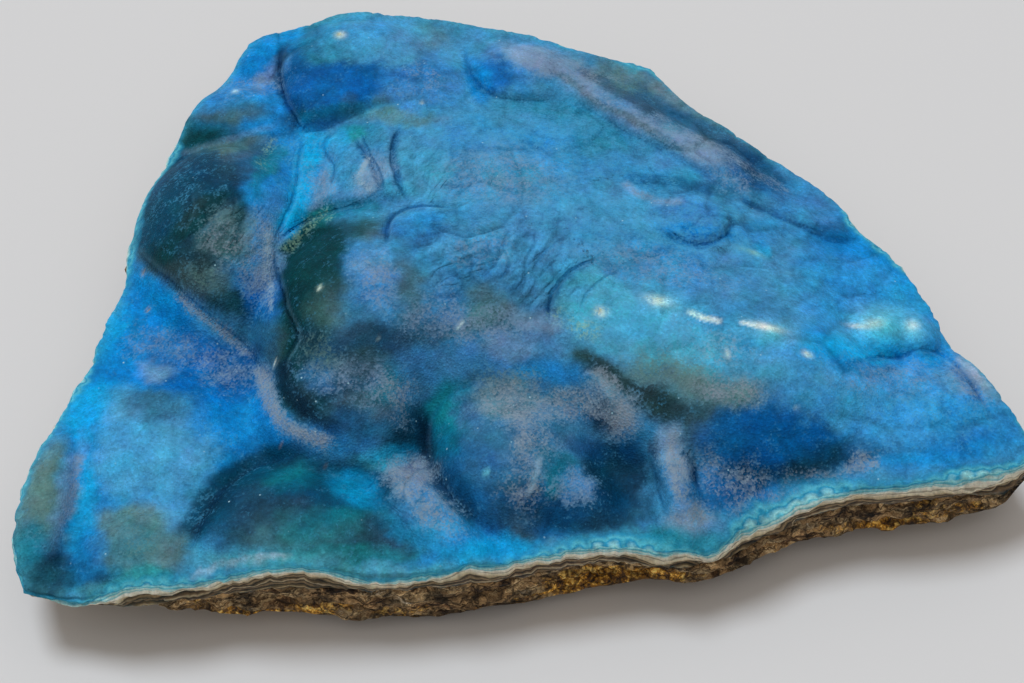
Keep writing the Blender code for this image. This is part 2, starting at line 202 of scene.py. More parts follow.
# Folds: rise on the left of the line's run, sink on its right, width, fade of the rise, plan points
FOLDS = {
    "foot of the west dome": (1.3, 0.8, 2.0, 9, [
        (-60, 20), (-57.5, 16.5), (-53, 12), (-49, 8), (-44, 3), (-40, -1), (-36.5, -5.5),
        (-34.5, -10), (-30.5, -14), (-25, -19)]),
    "flank of the nose": (1.2, 0.9, 1.7, 8, [
        (-19, 29), (-27, 27), (-33, 24), (-36.8, 19.5), (-36, 12), (-34, 5), (-32.3, 0.5),
        (-34.2, -5), (-33, -10)]),
    "foot of the north dome": (1.2, 0.9, 1.5, 7, [
        (-38.5, 66), (-39.4, 60), (-38.5, 54), (-36.5, 48.5), (-34.5, 45.2), (-30.5, 46.2),
        (-26, 48.8), (-21, 50.5)]),
    "side of the front lobe": (1.2, 0.8, 1.7, 7, [
        (0, -7), (-6, -8), (-10.5, -11.5), (-12.2, -17), (-11.5, -23), (-8, -29), (-3, -34), (1, -38)]),
    "east scarp": (1.0, 0.7, 1.0, 6, [
        (71, -15), (69.5, -11), (67.5, -6), (64.5, -2.4), (61, -1.6), (58.5, -3.2), (55, -3), (51.5, -4)]),
    "under the back ridge": (0.6, 0.35, 1.4, 5, [
        (6, 51), (12, 50), (18, 45), (24, 40.5), (30, 35.5), (35, 31.5), (40, 28)]),
    "valley strand": (0.7, 0.5, 0.8, 4, [
        (-34, 45), (-34.8, 37), (-34.8, 30), (-36.8, 22), (-36.5, 17)]),
    "second strand": (0.6, 0.5, 0.7, 3.5, [(-28, 46), (-31, 41), (-29, 36), (-29.5, 31)]),
    "wedge": (0.9, 0.7, 0.7, 4, [(-20.8, 29.5), (-21.5, 33), (-23, 37), (-25, 41), (-26, 44)]),
    "foot of the wedge": (0.7, 0.5, 0.8, 4, [(-30, 27), (-26, 28.2), (-21, 29.2), (-17, 28)]),
    "long crease": (0.8, 0.7, 0.7, 5, [(-16.5, 28), (-18, 32), (-19.4, 37), (-19.4, 42), (-18, 46)]),
    "rim of the eye lobe": (1.0, 0.7, 0.8, 5, [
        (-9, 27), (-14, 27.3), (-17.5, 26.5), (-19.5, 24), (-19.5, 19)]),
    "end of the main ridge": (0.9, 0.7, 0.8, 5, [(14, 16.5), (10, 14.5), (7.2, 11.5), (5.8, 8), (5.8, 4)]),
    "foot of the north-east dome": (0.8, 0.5, 1.0, 5, [
        (-8, 66), (-7.6, 60), (-6, 55.5), (-2.5, 52.5), (4, 51.5), (9, 52.5)]),
    "rim of the oval lobe": (1.0, 0.7, 0.8, 4, [
        (24, 23.5), (27, 20.4), (31, 20), (34.2, 22.5), (34.8, 26), (32.5, 29.3)]),
    "side of the rib": (1.0, 0.8, 0.8, 3.5, [(21, -16.5), (20.6, -22), (21.4, -28), (22.5, -33)]),
    "cleft of the rib": (0.7, 0.7, 0.7, 4, [(27.5, -28.5), (26.3, -25), (26.3, -21.5), (24, -19)]),
    "step in the basin": (0.7, 0.5, 1.1, 6, [
        (-62, -44), (-63.5, -36), (-62.6, -28), (-63.5, -21), (-64.5, -16)]),
    "foot of the basin dome": (0.9, 0.8, 1.4, 6, [
        (-24, -21.5), (-30, -21.2), (-36, -22.5), (-41, -26.5), (-44, -33), (-46, -41)]),
    "north-east rib": (0.8, 0.6, 0.8, 4, [(35, 30.5), (40, 27), (45, 24), (50, 20.5), (56, 20.3)])}

# Rim of the underside: plan x, plan y, height, how far the rock juts out below the crust
RIM = [
    (-69.2, -40, 9.0, -0.6), (-61, -41.3, 8.8, -0.6), (-53, -41, 8.4, -0.4), (-46, -40, 6.0, -0.2),
    (-38.5, -39, 3.4, 0.5), (-28, -39, 2.9, 0.9), (-14, -38.7, 2.2, 1.0), (-7, -38, 2.2, 1.0),
    (0, -37, 2.8, 0.8), (7, -35.4, 2.4, 0.9), (14, -34.5, 3.7, 0.7), (21, -34.3, 4.8, 0.0),
    (29, -33.4, 4.2, 0.0), (38, -29, 3.8, 0.1), (50, -25, 3.6, 0.3), (62, -23.8, 4.2, 0.0),
    (72, -21.5, 5.0, -0.2), (77.5, -17.5, 6.2, -0.4), (70.6, -0.8, 5.6, -0.6), (60.6, 22, 5.4, -0.5),
    (45.5, 41.5, 5.4, -0.6), (24, 65, 6.2, -0.5), (0, 73, 6.0, -0.6), (-26, 76.4, 5.4, -0.5),
    (-46, 69.6, 6.2, -0.6), (-60.2, 30, 5.4, -0.6), (-63.8, 8, 6.0, -0.5), (-71.2, -20, 7.0, -0.5),
    (-71.4, -34, 8.4, -0.6)]

# Crinkled places: x, y, half length, half width, turn in degrees, size along, size across, depth
CRINKLES = [
    (-7, 17, 9, 10, 20, 4.4, 2.4, 0.3), (4, 15, 8, 11, 66, 7.0, 2.2, 0.34),
    (-13, 34, 7, 8, 60, 4.0, 1.6, 0.2), (-23, 35, 6, 9, 70, 4.0, 1.6, 0.12),
    (-31, 36, 5, 9, 80, 4.0, 1.6, 0.12), (-46, 22, 8, 10, 60, 4.4, 1.8, 0.18),
    (42, 25, 11, 6, -35, 5.0, 2.4, 0.22), (12, 42, 12, 9, 0, 6.6, 5.4, 0.2),
    (48, 12, 9, 8, -30, 5.0, 3.2, 0.14), (-17, -27, 6, 9, -50, 3.0, 1.4, 0.12),
    (24, -24, 4, 8, 90, 3.0, 1.3, 0.08), (66, -7, 6, 6, -60, 4.4, 2.3, 0.14),
    (20, 25, 16, 10, -30, 5.2, 2.6, 0.16), (-44, -5, 10, 8, -40, 3.2, 1.6, 0.1),
    (3, -28, 5, 6, 60, 3.0, 1.6, 0.08), (55, 6, 8, 4, 0, 5.0, 3.0, 0.12)]

# Colours of the crust, by a maker's plain names
PALETTE = {
    "azure": "#0088CE", "cyan": "#06A4DA", "sky": "#4BA0CC", "cobalt": "#0066AE", "deep blue": "#00558C",
    "navy": "#06324E", "petrol": "#004A68", "bottle": "#00484F", "teal": "#067E96", "sea green": "#149094",
    "sage": "#5E8482", "slate": "#2A506A", "lilac": "#7C99B6", "periwinkle": "#3C86C0", "steel": "#3F8CB8",
    "mist": "#98B4C6", "umber": "#4A686C", "olive": "#2C4B52", "aqua": "#6EC6D4", "cream": "#E6EEDC",
    "ash": "#8A9BAA", "lime": "#8FBBA0", "ochre": "#B59350", "turquoise": "#48A8BE", "stone blue": "#38749A",
    # rim: a paler blue-green, painted as the glow of the thin, clear crust at its edge
    "rim": "#4FA6B2"}

# Soft patches in painting order: colour, then x, y, half length, half width, turn, strength of each
PATCHES = [
    ("azure", [
        (-57, -8, 12, 24, 8, 1), (58, 4, 16, 24, 0, 0.9), (57, -14, 18, 10, -6, 0.8),
        (-38, 40, 8, 16, 0, 0.8), (-42, 62, 8, 9, 0, 1), (-12, -33, 22, 8, -8, 0.7),
        (-42, -18, 10, 10, 0, 0.9)]),
    ("steel", [
        (2, 38, 30, 18, -6, 1), (14, 24, 26, 12, -20, 0.9), (-20, 64, 16, 9, 0, 0.9),
        (30, 12, 18, 12, -20, 0.8)]),
    ("petrol", [
        (-52, 29, 9, 16, 4, 1), (-27, -31, 17, 9, 0, 0.8), (-33, 62, 6, 9, 0, 0.6),
        (-51, 44, 6, 5, 0, 0.7)]),
    ("stone blue", [
        (-24, -4, 12, 12, 0, 0.9), (3, -14, 14, 12, 0, 0.9), (22, 56, 10, 6, -40, 0.9),
        (30, 44, 14, 6, -42, 0.9), (-5, 3, 12, 9, 0, 0.8), (26, -8, 14, 8, -15, 0.7)]),
    ("bottle", [
        (-31, 16, 5.5, 12, 4, 1), (-32, 3, 4, 12, 0, 1), (-52, 20, 5, 9, 12, 0.9),
        (-31, -9, 4, 6, 20, 0.9)]),
    ("cobalt", [
        (-29, 55.5, 10, 5, 4, 1), (-33, 51, 4.5, 6, 0, 0.9), (41, -15, 8, 5, 0, 0.95),
        (-46, -6, 9, 7, -40, 0.85), (-4, 57.5, 3.4, 5, 0, 0.9), (36, -19, 5, 4, 0, 0.7),
        (67, -16, 6, 4, 20, 0.6), (-39, 9, 4, 6, 0, 0.8), (-34, -20, 8, 3, 0, 0.5),
        (34, -27, 4, 5, 0, 0.6)]),
    ("navy", [
        (-64, -41.5, 3.4, 4.4, 0, 0.7), (-14, -18, 4, 7, -20, 0.85), (-9, -27, 3, 6, 30, 0.8),
        (40, -22, 8, 4, 0, 0.9), (50, -20, 5, 2.4, 0, 0.6), (14.5, -24, 5, 6, 0, 0.9),
        (12, -31, 7, 4, 0, 0.8), (33, -24.5, 3.6, 4.4, 0, 0.85), (14, -13, 3, 3, 0, 0.8),
        (-26, -8, 5, 3, -20, 0.5), (-22, 0, 6, 3.5, 0, 0.6), (-35, 47, 2.6, 2.6, 0, 0.6),
        (-41, -5, 4, 3.5, -40, 0.6), (3, -32, 5, 4, 0, 0.5), (39, 35, 5, 4.5, -30, 0.5),
        (-17, -22, 4, 2.4, 0, 0.6)]),
    ("slate", [
        (-53, -12, 4.6, 3.0, -12, 0.5), (-33, -32, 5, 3.4, 0, 0.7), (-17, -35.5, 6, 4, 0, 0.8),
        (-37, -28.5, 3, 3, 0, 0.6), (-27, -3, 6, 6, 0, 0.5), (-45, 37, 7, 4, 10, 0.7),
        (0, -30, 5, 5, 0, 0.7), (34, 41, 7, 3, -40, 0.8), (-13, 3, 6, 5, 0, 0.4), (30, -16, 5, 5, 0, 0.5),
        (24, 51, 6, 3, -40, 0.4)]),
    ("umber", [
        (-48, 12, 5, 3.6, -30, 0.8), (-46, 22, 3.4, 7, 10, 0.5), (-21, 23, 5, 3, 0, 0.75),
        (-16.5, 11, 2.8, 6, 0, 0.7), (-29, 6, 2.6, 3.4, 0, 0.55), (-22, -12, 4, 4, 0, 0.6),
        (-3, 4, 5, 4, 0, 0.5), (27.5, -17, 3.4, 4.4, 0, 0.75), (-46, 48.5, 5, 2, 0, 0.55),
        (-22, -4, 4, 3, 0, 0.5), (20, -9.5, 6, 2.6, -35, 0.6), (-35.5, -1, 1.6, 3.6, 0, 0.5),
        (5, -37, 2.4, 1.6, 30, 0.5), (2, -33, 2.4, 3, 0, 0.4), (-27, 52.4, 1.6, 1.1, 0, 0.4),
        (-21.5, 51.6, 1.4, 1, 0, 0.5)]),
    ("olive", [
        (-51.5, 21, 3.4, 8, 12, 0.85), (-53.5, 15.5, 3.4, 3, -40, 0.8), (12, -4, 3.6, 2.2, -40, 0.95),
        (22, -12, 4.6, 2.6, -30, 0.95), (-24.5, -15, 3.4, 2, -30, 0.7), (-49.5, 28, 1.6, 5, 20, 0.6),
        (17, -8, 4.4, 1.8, -40, 0.8), (-42.5, 6, 3, 2, -40, 0.5), (-31, -11.5, 2, 3, 30, 0.5)]),
    ("sage", [
        (-67.5, -28, 3.2, 9, -3, 1), (-52, -36, 7.2, 6.2, 0, 0.9), (-45, 22, 4, 6, 15, 0.55),
        (30, -9, 7, 4, -10, 0.9), (17, 57, 6, 4.4, 0, 0.55), (26, 53, 4, 4, -40, 0.6),
        (-19, 47.6, 7, 1.8, -6, 0.7), (-16, 67, 5, 3, -15, 0.6), (-47, 40.6, 7, 1.3, 14, 0.7),
        (-35, -34, 5, 3, 0, 0.4), (-24, -36, 7, 2.4, 0, 0.5), (21, -5, 6, 3, -20, 0.6),
        (-4, 7, 4, 4, 0, 0.5), (-28, 7, 3, 5, 0, 0.3), (33, 45.5, 6, 2.6, -42, 0.6),
        (-1, -11, 5, 4, 0, 0.5)]),
    ("teal", [
        (-52, 43, 4.6, 2.8, 20, 0.6), (-33, -24.6, 5.6, 2.8, 0, 0.9), (-54, -36.5, 4, 3.4, 0, 0.5),
        (-68, -37.5, 2.4, 4.6, 0, 0.85), (-56, 24, 3.6, 7, 0, 0.55), (-26, 27, 5, 2, 5, 0.8),
        (-33, 66, 3.4, 6, 0, 0.5), (-10, -15, 2.4, 7, 0, 0.9), (-9, -8.5, 3, 1.8, 0, 0.6),
        (-19, -9, 2, 3.6, -15, 0.6), (7, -24, 1.8, 4, 30, 0.6), (3, 50, 6, 2.6, 0, 0.5),
        (-29.5, 48.8, 6, 2, 10, 0.6), (30, 47.5, 5, 2, -42, 0.4), (-40.6, 35, 1.6, 4.6, 0, 0.6),
        (14, 43, 4, 4, 0, 0.35), (-57, -42, 6, 2.4, 0, 0.5), (-24, 44, 3, 3, 0, 0.4),
        (12, 50, 4, 2, -30, 0.4), (32, -17, 2.4, 3, 0, 0.5)]),
    ("sea green", [
        (-27, -33, 7, 3, 8, 0.3), (-34, -24, 4, 1.6, 0, 0.3), (-26, 43.6, 2, 2.2, 0, 0.7),
        (-50.5, -42, 5, 2, 5, 0.7), (-31, 24.5, 3, 1.6, 30, 0.5), (22, -36.5, 7, 2.4, 0, 0.7),
        (-23, -38, 9, 1.8, 0, 0.5), (-39, 37.5, 1.2, 3, -15, 0.4)]),
    ("turquoise", [
        (18, 2, 11, 6, -15, 0.5), (12, 9, 6, 5, 0, 0.7), (28, -2, 10, 4.4, -18, 0.7),
        (-15, 35, 6, 6, 0, 0.4), (-65, -41, 3, 2.4, 0, 0.6), (10, -36, 8, 1.2, 10, 0.5),
        (34, -33, 7, 1.4, 30, 0.5), (-28, 71.5, 8, 1.8, 0, 0.5), (-19, -21.6, 3.4, 2, 0, 0.8),
        (22, 60, 4, 1.6, 0, 0.6), (-35, -38, 8, 2, 0, 0.4)]),
    ("sky", [
        (-52, -20, 9, 10, 0, 0.9), (-56, -13, 6, 4, 0, 0.6), (-47, -27, 5, 8, 25, 0.6),
        (40, -6, 10, 4, -10, 0.4), (-31, 41, 4, 6, 0, 0.4), (18, 28, 16, 7, -25, 0.35),
        (-9, 63, 4, 5, 0, 0.4), (-20, 26, 7, 1.6, 10, 0.5)]),
    ("cyan", [
        (-63, -13, 3.4, 5, 0, 0.85), (-61, -30, 1.7, 9, 4, 0.9), (-61.5, 3, 2, 6, -8, 0.8),
        (61, 8, 4, 4, 0, 0.6), (56, -0.8, 4.4, 2.2, 0, 0.85), (-33.5, 42, 1.8, 5, 0, 0.6),
        (-22.5, -27, 3, 3.4, 0, 0.25), (-3, -37.5, 6, 2.4, 10, 0.6), (-41, 65.4, 4.4, 2.4, 20, 0.5),
        (-28, 41, 1.8, 4, -10, 0.5), (39.5, 18.5, 2, 1.2, -20, 0.6), (-64, -22, 1.4, 5, 0, 0.3)]),
    ("azure", [
        (-56, 6, 5, 5, 0, 0.5), (-43, -14, 5, 4, 0, 0.6), (29, 22, 5.4, 2.4, -10, 0.9),
        (57, 13, 8, 5, -20, 0.6), (5.5, -5.5, 6, 2.4, -8, 0.7), (60, -9, 12, 5, -8, 0.6),
        (-15.5, 23.6, 4.6, 2.8, 20, 0.6), (7, 40, 5, 5, 0, 0.3), (-58.5, 31, 1.8, 5, -12, 0.6),
        (-51, 51.6, 2.6, 3, 0, 0.6), (22, 33.4, 5, 3, 0, 0.4), (-7, 44, 4, 4, 0, 0.3),
        (-59, -39, 2, 5, 0, 0.6), (46, 31, 5, 2.4, -20, 0.4), (38.5, 22, 4, 2.4, 0, 0.4),
        (-58, -2, 4, 4, 0, 0.4)]),
    ("deep blue", [
        (-13.5, 21, 3.4, 1.2, 45, 0.4), (25, 31.6, 6, 1.6, -8, 0.6), (50, 22.5, 3.6, 2.4, -30, 0.6),
        (40.5, 33, 5, 2.6, -30, 0.7), (-3, 14, 3, 3, 0, 0.35), (52, -4.6, 4, 1.2, 0, 0.4),
        (-42, -30, 2, 6, -20, 0.6), (-36, 57, 1.8, 6, 8, 0.5), (-57, -42.5, 2.4, 1.6, 0, 0.5),
        (-34, 51, 3, 3, 0, 0.4)]),
    ("periwinkle", [
        (-45, 54, 6, 3, 20, 0.75), (-15, 55, 7, 6.4, 0, 0.75), (27.5, 27, 6, 3, -15, 0.9),
        (47, 27.6, 4.4, 3, -30, 0.6), (-22, 13, 4, 6.6, 25, 0.75), (-19, 7, 3, 4, 0, 0.4),
        (-52, -1, 5, 3, -20, 0.5), (-10, 7, 4, 4, 0, 0.5), (3, 61, 7, 4.4, -25, 0.7),
        (59, -6, 6, 2.2, -5, 0.5), (-4, -2, 8, 3.6, 0, 0.6), (-14, -5, 4, 3, 0, 0.6),
        (-12, -32, 4, 6, 35, 0.6), (-38.5, 22, 2.2, 9, -4, 0.6), (29, 14, 8, 4, -15, 0.35),
        (16, 53, 4, 2, -40, 0.4), (34, 36, 4, 3, -40, 0.4), (23.5, -24, 2.6, 8, 5, 0.6),
        (-29, -7, 3, 3, 0, 0.5), (55, -19, 6, 2, 8, 0.5), (9, -26.6, 2.6, 2.4, 0, 0.8)]),
    ("sky", [(-24.8, 34, 2.2, 5, -16, 0.9), (-30.6, 33, 1.6, 5, -8, 0.5), (14, -2, 4, 2, -30, 0.5)]),
    ("lilac", [
        (-63.6, -28, 1.6, 8, -4, 0.65), (-37.6, 16, 1.6, 7, 0, 0.5), (2, 62.4, 6, 2.4, -25, 0.55),
        (69.6, -6.5, 5.4, 1.5, -62, 0.8), (22.6, -19, 2, 3.4, 0, 0.8), (-23, 34, 2.2, 4.6, -28, 0.6),
        (-31.6, 31, 1.4, 4.4, -14, 0.5), (66, -7, 2.4, 3, 30, 0.5), (-41, 57.6, 1.8, 4, -28, 0.7),
        (-53.4, -6, 2.6, 1.6, 0, 0.7), (-15, -24.4, 3.4, 3, 0, 0.6), (-22, 15, 3, 3, 0, 0.3),
        (4, 3.6, 3.6, 2.4, -30, 0.5), (0, -1, 4, 2, 0, 0.4), (10, 59.6, 3.4, 3, -30, 0.5)]),
    ("mist", [
        (16, -13.6, 2, 3, 20, 0.3), (25, -32, 4, 3, 0, 0.4), (13.4, -8, 3, 0.9, -42, 0.6),
        (-22.5, 32, 1.2, 3, -30, 0.4)]),
    ("petrol", [
        (-53, 30, 7, 14, 4, 0.5), (-57, 24, 3.4, 9, 4, 0.9), (-53, 36, 5, 3.6, 10, 0.7),
        (-30, -28, 14, 5, 0, 0.55), (-39, -30, 4, 6, -20, 0.6), (-26, -22.4, 7, 1.6, 0, 0.6),
        (-16, -16, 4, 4, 0, 0.5), (-39, 1, 3, 4, 30, 0.5), (-22, -35.6, 6, 2.6, 0, 0.4)]),
    ("bottle", [
        (-52.6, 42.4, 4.4, 1.7, 16, 0.9), (-50.4, 25, 7.4, 1.9, 60, 0.95), (-54.6, 17.6, 2.6, 2.6, 0, 0.9),
        (-43.6, 7.4, 5, 1.8, -38, 0.7), (-32, 14, 4.4, 10, 4, 0.5), (-26, 22.6, 4.6, 2.2, 20, 0.7)]),
    ("umber", [
        (-49.4, 12.6, 4.4, 2.4, -36, 0.7), (-44, 40.6, 4.4, 2.6, 16, 0.45), (-46.6, 48.8, 5, 2, 10, 0.5)]),
    ("slate", [
        (-52.6, -12, 4.4, 2.8, -12, 0.6), (-33, -31.4, 5, 2.4, 0, 0.6), (-18.6, -35, 5, 3, 0, 0.6),
        (-37, -27, 3, 2.4, 0, 0.4)]),
    ("navy", [(-64.2, -41.8, 3.2, 4.4, -8, 0.68), (-57.6, -43, 2.4, 1.6, 0, 0.5)]),
    ("deep blue", [(-60.6, -37, 2.0, 6, 0, 0.4)]),
    ("turquoise", [(17, 3, 10, 5, -15, 0.6), (24, 0, 8, 3.6, -18, 0.4), (11, 11, 4, 5, 0, 0.3)]),
    ("cyan", [
        (56, 0, 6, 3.4, -5, 0.8), (48, -1, 5, 2.4, -10, 0.5), (62, 10, 4, 4, 0, 0.4),
        (36, 1, 6, 2.4, -15, 0.35), (-22.4, -27, 5, 2.2, -45, 0.5), (-13, -35, 6, 2, -30, 0.5),
        (-2, -37, 6, 1.8, 10, 0.7), (-17.6, -20.8, 3.4, 1.8, 0, 0.6)]),
    ("sky", [
        (52, -12, 14, 5, -8, 0.45), (50, 10, 12, 8, -20, 0.3), (20, 30, 18, 8, -20, 0.3),
        (-24, 66, 10, 5, 0, 0.5), (40, -5, 8, 3, -10, 0.4), (-12, -30, 4, 6, 38, 0.5)]),
    ("periwinkle", [
        (28, 26.6, 5.6, 3, -12, 0.8), (-15, 56, 5, 5, 0, 0.5), (48, 27, 5, 2.4, -30, 0.5),
        (59, -8, 9, 2.4, -8, 0.2)]),
    ("sky", [
        (24, 2, 13, 5, -15, 0.4), (4, 14, 8, 7, 0, 0.3), (58, -12, 16, 7, -6, 0.35),
        (-30, 34, 6, 6, 0, 0.2)]),
    ("ash", [(28, 52, 8, 2.4, -42, 0.25), (30, 41, 6, 1.6, -40, 0.4)]),
    ("lilac", [
        (6, 60.6, 5, 2.6, -36, 0.5), (13, 54, 3, 1.6, -50, 0.5), (21, 46.6, 4, 1.5, -36, 0.55),
        (32, 38.4, 3.4, 1.8, -40, 0.5)]),
    ("cobalt", [(-42, 63, 6, 6, 0, 0.3), (1, 56, 1.6, 3, 20, 0.4), (-2, 59, 2, 3.4, 0, 0.4)]),
    ("azure", [
        (-46, 53, 5, 4, 20, 0.45), (-26, 69, 8, 3.4, 0, 0.3), (12, 36, 5, 3, 20, 0.4),
        (2, 42, 4, 3, 0, 0.35), (24, 18, 7, 2.4, -15, 0.35)]),
    ("teal", [
        (16, 42, 5, 3.4, 0, 0.35), (0, 34, 6, 3, 0, 0.25), (8, 48, 5, 2, 0, 0.35), (27, 34, 4, 2, 0, 0.3)]),
    ("sea green", [(-9.6, -15, 1.6, 6, 0, 0.55)]),
    ("azure", [
        (29.6, 22, 4.6, 1.7, -10, 0.9), (-6, 57, 2, 5, 10, 0.8), (68, -3, 1.6, 3, -50, 0.8),
        (61, -14, 8, 3, -6, 0.4)]),
    ("petrol", [
        (40, 36, 5, 1.8, -42, 0.5), (34, 30.6, 3, 1.2, -30, 0.4), (14, -25, 3.4, 4.4, 0, 0.6),
        (41, -21, 7, 2.4, 0, 0.6)]),
    ("deep blue", [
        (-5, -25, 4, 7, 30, 0.5), (5, -30, 5, 4, 0, 0.6), (-9, -21, 2.4, 6, 10, 0.5),
        (30, -28, 4, 3.4, 0, 0.6), (11, -20, 3, 2.4, 0, 0.5), (17, -19, 2, 3, 0, 0.6),
        (13, -30, 4, 2.4, 0, 0.5), (36, -24, 4, 3, 0, 0.5)]),
    ("cobalt", [
        (36, -18, 9, 5, 0, 0.8), (28, -27, 4, 5, 0, 0.5), (-24, -17, 4, 4, 0, 0.4),
        (-42, -5, 6, 4, -40, 0.6), (-39, 9, 2.6, 4.6, 0, 0.6), (-25, 56, 12, 3.4, 10, 0.5),
        (-29, -17, 5, 1.6, -24, 0.4)]),
    ("sea green", [
        (-27, -33.4, 7, 2.6, 8, 0.32), (-34.6, -24.2, 4, 1.6, 0, 0.35), (-23, -38, 9, 1.6, 0, 0.4)]),
    # Along the front edge the rim colour is painted glow of the thin crust
    ("rim", [(-34, -39.4, 10, 1.8, 0, 0.7), (-52, -43.6, 7, 1.3, 0, 0.6), (-14, -40.4, 12, 1, 0, 0.5)]),
    ("mist", [
        (-35.4, -38.8, 1.5, 0.9, 20, 0.9), (-38.6, -39.4, 1.6, 0.8, 30, 0.7), (-33, -38, 1.0, 0.7, 0, 0.8),
        (-42.6, -41, 2.2, 0.6, 28, 0.6)])]

# Long soft strokes: colour, half width, strength, points. The dark strokes that run along a fold, and the
# dark streaks on the west dome, are painted shade in the creases; the others are colours of the crust
STROKES = [
    ("petrol", 2.4, 0.9, [(-46, -37), (-43.4, -31), (-40, -25.4), (-35, -21.8), (-29, -21)]),
    ("navy", 0.8, 0.6, [(-45, -36), (-42.4, -30), (-39.4, -26)]),
    ("cyan", 1.9, 1.0, [(-30.6, 45), (-33.6, 37), (-34, 31), (-35, 25), (-37, 20)]),
    ("bottle", 0.7, 0.7, [(-50.6, 21), (-48, 26), (-46, 31)]),
    ("bottle", 0.6, 0.6, [(-45.4, 17), (-43.4, 22), (-43, 27)]),
    ("ash", 0.7, 0.2, [(-55, 38.4), (-50, 40.8), (-44, 43.6), (-38, 46)]),
    ("lilac", 2.6, 0.32, [
        (-2, 65), (5, 61.4), (10, 57), (14, 53.4), (18, 49.2), (23, 45.2), (29, 41), (34, 36.8)]),
    ("deep blue", 1.6, 0.5, [(20, 54), (27, 48.4), (34, 43), (40, 37), (44, 33)]),
    ("slate", 1.0, 0.6, [(10, 60.6), (15, 56), (20, 51.6), (26, 47)]),
    ("umber", 0.7, 0.5, [(4, 60), (9, 56.6), (14, 51.4), (19, 47.6), (25, 42.6)]),
    ("deep blue", 1.2, 0.5, [(17, 33), (23, 33.6), (29, 32), (34, 31)]),
    ("umber", 1.0, 0.3, [(10, 53.4), (15, 50), (20, 46.6), (26, 41.2), (30, 38.6)]),
    ("olive", 1.5, 0.8, [(9, -1), (13, -5), (18, -9), (24, -13)]),
    ("navy", 1.2, 0.7, [(-33.4, -2), (-34.2, -6), (-32.6, -10), (-29, -14), (-24, -18)]),
    ("navy", 0.9, 0.55, [(-39, 66), (-39.6, 60), (-38.6, 54), (-37, 49)]),
    ("deep blue", 0.7, 0.6, [(-19, 45), (-19.6, 39), (-18.6, 33), (-17, 29)]),
    ("deep blue", 0.7, 0.6, [(-25, 42), (-23, 37), (-21.4, 33), (-20.8, 30)]),
    ("deep blue", 0.6, 0.55, [(-19.8, 19), (-19.6, 24), (-17.4, 26.8), (-13, 27.4)]),
    ("deep blue", 0.6, 0.6, [(5.4, 4), (5.8, 8), (7.4, 11.4), (10, 14.4), (13.6, 16.4)]),
    ("bottle", 0.8, 0.6, [(-35.2, 13), (-34.4, 6), (-33, 1), (-34.2, -4)]),
    ("navy", 1.0, 0.6, [(-12.4, -12), (-13, -18), (-12, -23), (-8.6, -29), (-4, -34)]),
    ("navy", 0.8, 0.5, [(20.4, -18), (20.4, -23), (21, -29)]),
    ("navy", 0.7, 0.7, [(24.4, -20), (26, -22.6), (26.4, -26.4)]),
    ("petrol", 0.7, 0.3, [(-7.8, 62), (-6.2, 56), (-3, 52.6), (3, 51.6), (7, 52.4)]),
    ("deep blue", 0.6, 0.5, [(24, 23), (27, 20), (31, 19.6), (34.6, 22.2), (35.2, 26)]),
    ("sky", 0.5, 0.5, [(25, 23.2), (28, 21), (31, 20.8), (33.8, 23), (34.2, 26)]),
    ("lilac", 0.9, 0.4, [(17.6, 33), (20, 30.4), (24, 28.4), (28, 28.8)]),
    ("cream", 0.55, 0.7, [(26.6, 6.2), (28.4, 5.2), (30.4, 4.4), (32.8, 3.8)]),
    ("cream", 0.3, 0.7, [(34.8, 3.4), (37.5, 2.8)]),
    ("mist", 0.8, 0.8, [(66.8, -2.4), (69, -5.4), (71, -9.4)]),
    ("olive", 0.8, 0.5, [(-49, 30), (-51, 26), (-53, 22)]),
    ("bottle", 0.7, 0.5, [(-43, 29), (-44, 25), (-46, 21)]),
    ("deep blue", 0.5, 0.5, [(36, 29.6), (40, 26.6), (45, 23.6), (50, 20.4)]),
    ("deep blue", 0.5, 0.5, [(50, -4), (55, -3.2), (58.6, -3.2), (61, -1.8), (65, -3)]),
    ("cobalt", 0.9, 0.6, [(66, -4), (67.6, -8), (69, -12)]),
    ("umber", 0.9, 0.5, [(-60, 19), (-57, 15.6), (-53, 11.6), (-49, 7.6)]),
    ("mist", 0.4, 0.6, [(4.4, -21), (3.4, -25), (2, -29)]),
    ("teal", 0.8, 0.6, [(7.8, -22), (6.2, -25), (5.8, -29)])]
